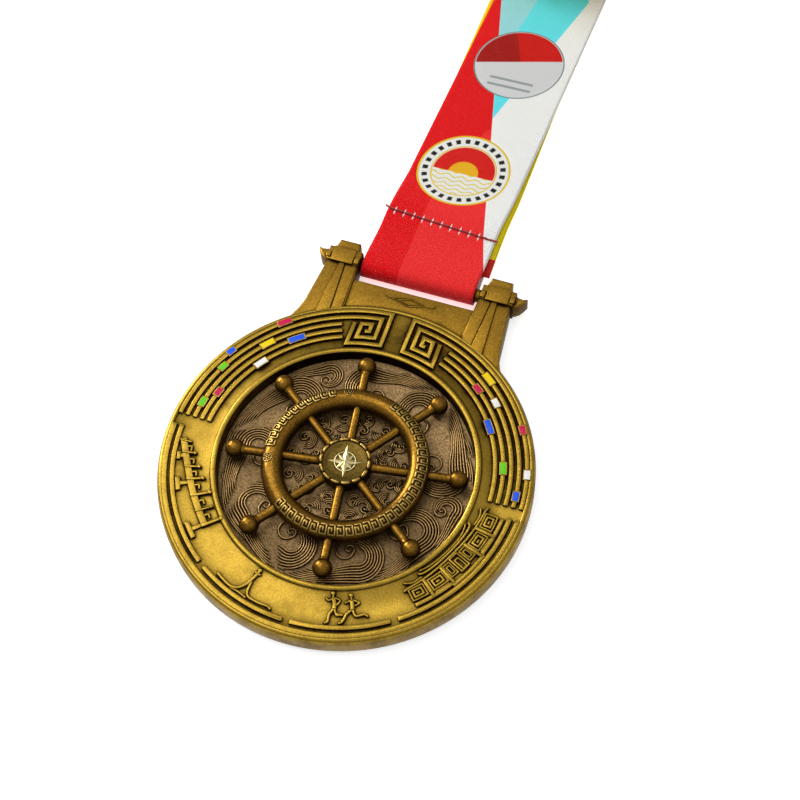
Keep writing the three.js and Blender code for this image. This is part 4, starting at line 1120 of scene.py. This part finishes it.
PRINT_REPEAT = 88  # the print runs this far up the strip and then back
satin, tree = new_material("printed_satin")
strip_place = node(tree, "UVMap", uv_map="millimetres")
across = node(tree, "SeparateXYZ", {0: strip_place}, out="X")
from_bar = node(tree, "SeparateXYZ", {0: strip_place}, out="Y")
repeat = node(tree, "Math", {0: from_bar, 1: PRINT_REPEAT}, operation="PINGPONG")
place = node(tree, "CombineXYZ", {0: across, 1: repeat})
ink = colour("#f8f8f5")
red_zone = side_of(tree, place, (14.24, 0), (-12.25, 88))
teal = both(tree, side_of(tree, place, (0, 48.9), (7.6, 82)), outside(tree, red_zone))
ink = printed(tree, ink, teal, "#64e8f4")
ink = printed(tree, ink, both(tree, teal, side_of(tree, place, (-5.2, 60), (-2.6, 87))), "#9be0e8")
ink = printed(tree, ink, red_zone, "#e80a12")
upper = outside(tree, side_of(tree, place, (-0.4, 44), (3.2, 48.5)))
coral = both(
    tree, red_zone, upper,
    outside(tree, side_of(tree, place, (-4.3, 0), (-4.9, 26))),
    outside(tree, side_of(tree, place, (-5, 21), (0.1, 47))),
)
ink = printed(tree, ink, coral, "#f52c2c")

# A round badge: sun over waves inside a ring of dashes.
badge, SEA_LINE = (-1.0, 31.8), 31.2
ink = printed(tree, ink, within(tree, place, badge, 10.3), "#e9c81d")
ink = printed(tree, ink, within(tree, place, badge, 9.85), "#f1f0ea")
dash_ring = both(
    tree, within(tree, place, badge, 9.2), dashes(tree, place, badge, 26, 0.5),
    outside(tree, within(tree, place, badge, 8.0)),
)
ink = printed(tree, ink, dash_ring, "#16201c")
ink = printed(tree, ink, within(tree, place, badge, 7.3), "#e9c81d")
ink = printed(tree, ink, within(tree, place, badge, 7.0), "#f1f0ea")
badge_x = node(tree, "Math", {0: across, 1: 1.9}, operation="MULTIPLY")
swell = node(tree, "Math", {0: badge_x}, operation="SINE")
wave_rise = node(tree, "Math", {0: swell, 1: 0.32, 2: repeat}, operation="MULTIPLY_ADD")
wave_beat = node(tree, "Math", {0: wave_rise, 1: 1.3}, operation="MODULO")
wave_near = node(tree, "Math", {0: wave_beat, 1: 0.32}, operation="LESS_THAN")
below_sun = node(tree, "Math", {0: repeat, 1: SEA_LINE}, operation="LESS_THAN")
ink = printed(tree, ink, both(tree, wave_near, below_sun, within(tree, place, badge, 7.0)), "#e6d23a")
above_sea = node(tree, "Math", {0: repeat, 1: SEA_LINE}, operation="GREATER_THAN")
ink = printed(tree, ink, both(tree, within(tree, place, badge, 6.9), above_sea), "#dd1a14")
ink = printed(tree, ink, both(tree, within(tree, place, (-1.0, SEA_LINE), 3.4), above_sea), "#f0b41e")

# A second badge: a red peak on light grey, with two grey rules.
mark = (0, 65.1)
ink = printed(tree, ink, within(tree, place, mark, 10.35), "#6f8a84")
ink = printed(tree, ink, within(tree, place, mark, 10.05), "#d9dadb")
peak = both(tree, within(tree, place, mark, 9.9), side_of(tree, place, (-10, 63), (10, 69)))
ink = printed(tree, ink, peak, "#d3130d")
ink = printed(tree, ink, both(tree, peak, side_of(tree, place, (1, 64), (-4.5, 76))), "#a5100c")
for low, high in ((57.6, 58.3), (59.6, 60.3)):
    rule = both(
        tree, within(tree, place, (0, 59), 5.2),
        node(tree, "Math", {0: repeat, 1: low}, operation="GREATER_THAN"),
        node(tree, "Math", {0: repeat, 1: high}, operation="LESS_THAN"),
    )
    ink = printed(tree, ink, rule, "#9aa3a4")

# The back tail is printed yellow, with the front print's red at its end.
back_tail = node(tree, "Math", {0: from_bar, 1: 420}, operation="GREATER_THAN")
ink = printed(tree, ink, back_tail, "#ecd415")
red_from = lengths[-1] - lengths[bar_top] - 4.5
tail_end = node(tree, "Math", {0: from_bar, 1: red_from}, operation="GREATER_THAN")
ink = printed(tree, ink, tail_end, "#d92a22")

# Where each stitch pulls the weave apart, the unprinted white threads show.
seam_along = lengths[bar_top + 23] - lengths[bar_top] + 0.45
seam_v = node(tree, "Math", {0: across, 1: math.tan(SEAM_SLANT), 2: seam_along}, operation="MULTIPLY_ADD")
off_seam = node(tree, "Math", {0: from_bar, 1: seam_v}, operation="SUBTRACT")
off_seam = node(tree, "Math", {0: off_seam}, operation="ABSOLUTE")
beat = node(tree, "Math", {0: across, 1: 1 / STITCH, 2: 40.5}, operation="MULTIPLY_ADD")
beat = node(tree, "Math", {0: beat}, operation="FRACT")
beat = node(tree, "Math", {0: beat, 1: 0.5}, operation="SUBTRACT")
beat = node(tree, "Math", {0: beat}, operation="ABSOLUTE")
taper = node(tree, "Math", {0: off_seam, 1: 0.1, 2: 0.0}, operation="MULTIPLY_ADD")
narrow = node(tree, "Math", {0: beat, 1: taper}, operation="ADD")
slit = both(
    tree, node(tree, "Math", {0: narrow, 1: 0.12}, operation="LESS_THAN"),
    node(tree, "Math", {0: across, 1: 9.6}, operation="LESS_THAN"),
    node(tree, "Math", {0: across, 1: -11.6}, operation="GREATER_THAN"),
    node(tree, "Math", {0: off_seam, 1: 1.2}, operation="LESS_THAN"),
)
ink = printed(tree, ink, slit, "#fff2f0")

# Here and there a thread shows pale through the print.
specks = node(tree, "TexNoise", {"Vector": strip_place, "Scale": 3.4, "Detail": 3, "Roughness": 0.7})
bare = node(tree, "MapRange", {"Value": specks, 1: 0.56, 2: 0.74, 3: 0.0, 4: 0.22})
ink = printed(tree, ink, bare, "#ffd9d4")

# Satin floats of 0.2 mm are drawn 0.45 mm coarse to show, as steep diagonal ribs.
ribs = node(tree, "Mapping", {"Vector": strip_place, "Rotation": (0, 0, math.radians(32))})
weave = node(
    tree, "TexWave", {"Vector": ribs, "Scale": 0.7, "Distortion": 0.6, "Detail": 1}, out=1,
    bands_direction="Y",
)
threads = node(tree, "TexNoise", {"Vector": strip_place, "Scale": 5.5, "Detail": 2})
height = node(tree, "Math", {0: weave, 1: threads}, operation="ADD")
bump = node(tree, "Bump", {"Height": height, "Strength": 0.8, "Distance": 0.14 * MM})
shader = node(
    tree, "BsdfPrincipled",
    {"Base Color": ink, "Roughness": 0.48, "Specular IOR Level": 0.07, "Sheen Weight": 0.01, "Normal": bump},
)
node(tree, "OutputMaterial", {0: shader})
ribbon.data.materials.append(satin)
bpy.ops.object.select_all(action="DESELECT")
ribbon.select_set(True)
bpy.context.view_layer.objects.active = ribbon
thick = ribbon.modifiers.new("thickness", "SOLIDIFY")
thick.thickness = STRIP_THICK * MM
thick.offset = 0
bpy.ops.object.modifier_apply(modifier=thick.name)
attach(ribbon, "ribbon")
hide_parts("neck_ribbon")

# ---------------------------------------------------------------------------------------------
# Stitching: a needle thread on top and a bobbin thread underneath, which meet in each needle hole
# and end in short loose tips. Dark red polyester, twisted.
# ---------------------------------------------------------------------------------------------


def thread_piece(name, face, side):
    """One thread as a round cord: over the cloth between needle holes, dipping into each."""
    curve = bpy.data.curves.new(name, "CURVE")
    curve.dimensions = "3D"
    curve.bevel_depth = 0.21 * MM
    curve.bevel_resolution = 3
    curve.use_fill_caps = True
    spline = curve.splines.new("POLY")
    steps = 220
    spline.points.add(steps)
    end = 2.3 - FIRST_STITCH
    for i, point in enumerate(spline.points):
        x = -end + 2 * end * i / steps
        nearest = min(abs(x - place) for place in hole_places)
        rise = 0.2 - 0.5 * math.exp(-((nearest / 0.22) ** 2))
        loose = max(0, abs(x) - 11.6)
        wander = 0.12 * loose**2 * (1 if x < 0 else -0.5)
        y = wander
        z = face + side * (rise + 0.12 * loose * (side > 0))
        spot = Matrix.Rotation(SEAM_SLANT, 4, "Z") @ Vector((x, y, 0))
        point.co = ((spot.x - 0.4) * MM, (spot.y + SEAM_Y) * MM, z * MM, 1)
    piece = as_mesh(name, curve)
    work_on(piece)
    bpy.ops.mesh.select_all(action="SELECT")
    bpy.ops.mesh.normals_make_consistent(inside=False)
    return put_down(piece, 60)


cord_red, tree = new_material("sewing_thread")
place = node(tree, "TexCoord", out="Object")
turns = node(tree, "TexNoise", {"Vector": place, "Scale": 2200, "Detail": 2})
tone = node(tree, "Mix", {0: turns, 6: colour("#6d0910"), 7: colour("#b0141f")}, out=2, data_type="RGBA")
shader = node(tree, "BsdfPrincipled", {"Base Color": tone, "Roughness": 0.6, "Sheen Weight": 0.3})
node(tree, "OutputMaterial", {0: shader})
threads = []
for name, node_name, face, side in (
    ("needle_stitches", "needle_thread", top_layer + STRIP_THICK / 2, 1),
    ("bobbin_stitches", "bobbin_thread", LOW_LAYER - STRIP_THICK / 2, -1),
):
    piece = thread_piece(name, face, side)
    piece.data.materials.append(cord_red)
    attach(piece, "ribbon")
    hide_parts(node_name)
    threads.append(piece)

# ---------------------------------------------------------------------------------------------
# Studio: a white table, a wide soft light over the left of it, a second one low on the left and
# a small one beyond the ribbon. The camera looks down from the front right, rolled a little.
# ---------------------------------------------------------------------------------------------

bpy.ops.object.select_all(action="DESELECT")
bpy.ops.mesh.primitive_plane_add(size=60, location=(0, 0.2, -0.0003))
table = bpy.context.object
table.name = "table"
paper, tree = new_material("white_paper")
shader = node(
    tree, "BsdfPrincipled",
    {
        "Base Color": (0.94, 0.94, 0.94, 1), "Roughness": 0.9, "Emission Color": (1, 1, 1, 1),
        "Emission Strength": 0.62,
    },
)
node(tree, "OutputMaterial", {0: shader})
table.data.materials.append(paper)
table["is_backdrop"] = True

world = bpy.data.worlds.new("studio")
world.use_nodes = True
tree = world.node_tree
tree.nodes.clear()
facing = node(tree, "TexCoord", out="Generated")
height = node(tree, "SeparateXYZ", {0: facing}, out="Z")
strength = node(tree, "MapRange", {"Value": height, 1: 0.15, 2: 0.95, 3: 0.2, 4: 0.72})
sky = node(tree, "Background", {"Color": (1, 1, 1, 1), "Strength": strength})
node(tree, "OutputWorld", {0: sky})
bpy.context.scene.world = world


def soft_light(name, place, target, size, power):
    light = bpy.data.lights.new(name, "AREA")
    light.shape = "RECTANGLE"
    light.size, light.size_y = size
    light.energy = power
    lamp = bpy.data.objects.new(name, light)
    bpy.context.scene.collection.objects.link(lamp)
    lamp.location = place
    lamp.rotation_euler = (Vector(target) - Vector(place)).to_track_quat("-Z", "Y").to_euler()


soft_light("softbox", (-0.27, 0.06, 0.45), (-0.25, 0.06, 0), (0.36, 0.4), 0.72)
soft_light("side_softbox", (-0.45, 0.2, 0.22), (0, 0, 0), (0.28, 0.22), 1.7)
soft_light("strip_light", (-0.028, 0.222, 0.45), (0.02, 0, 0), (0.016, 0.05), 0.035)

AIM = Vector((5.65, 16.83, 5)) * MM
DISTANCE = 312.9 * MM
azimuth, elevation, roll = math.radians(23.24), math.radians(60.48), math.radians(5.03)
flat_reach = math.cos(elevation)
back = Vector((math.sin(azimuth) * flat_reach, -math.cos(azimuth) * flat_reach, math.sin(elevation)))
level = Vector((math.cos(azimuth), math.sin(azimuth), 0))
level_up = back.cross(level)
right = level * math.cos(roll) - level_up * math.sin(roll)
camera_up = back.cross(right)
lens = bpy.data.cameras.new("camera")
lens.lens = 69.9
lens.sensor_width = 36
lens.clip_start = 0.01
lens.clip_end = 20
camera = bpy.data.objects.new("camera", lens)
bpy.context.scene.collection.objects.link(camera)
stand = Matrix.Translation(AIM + back * DISTANCE)
camera.matrix_world = stand @ Matrix((right, camera_up, back)).transposed().to_4x4()
bpy.context.scene.camera = camera
bpy.context.scene.view_settings.view_transform = "Standard"

low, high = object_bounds()
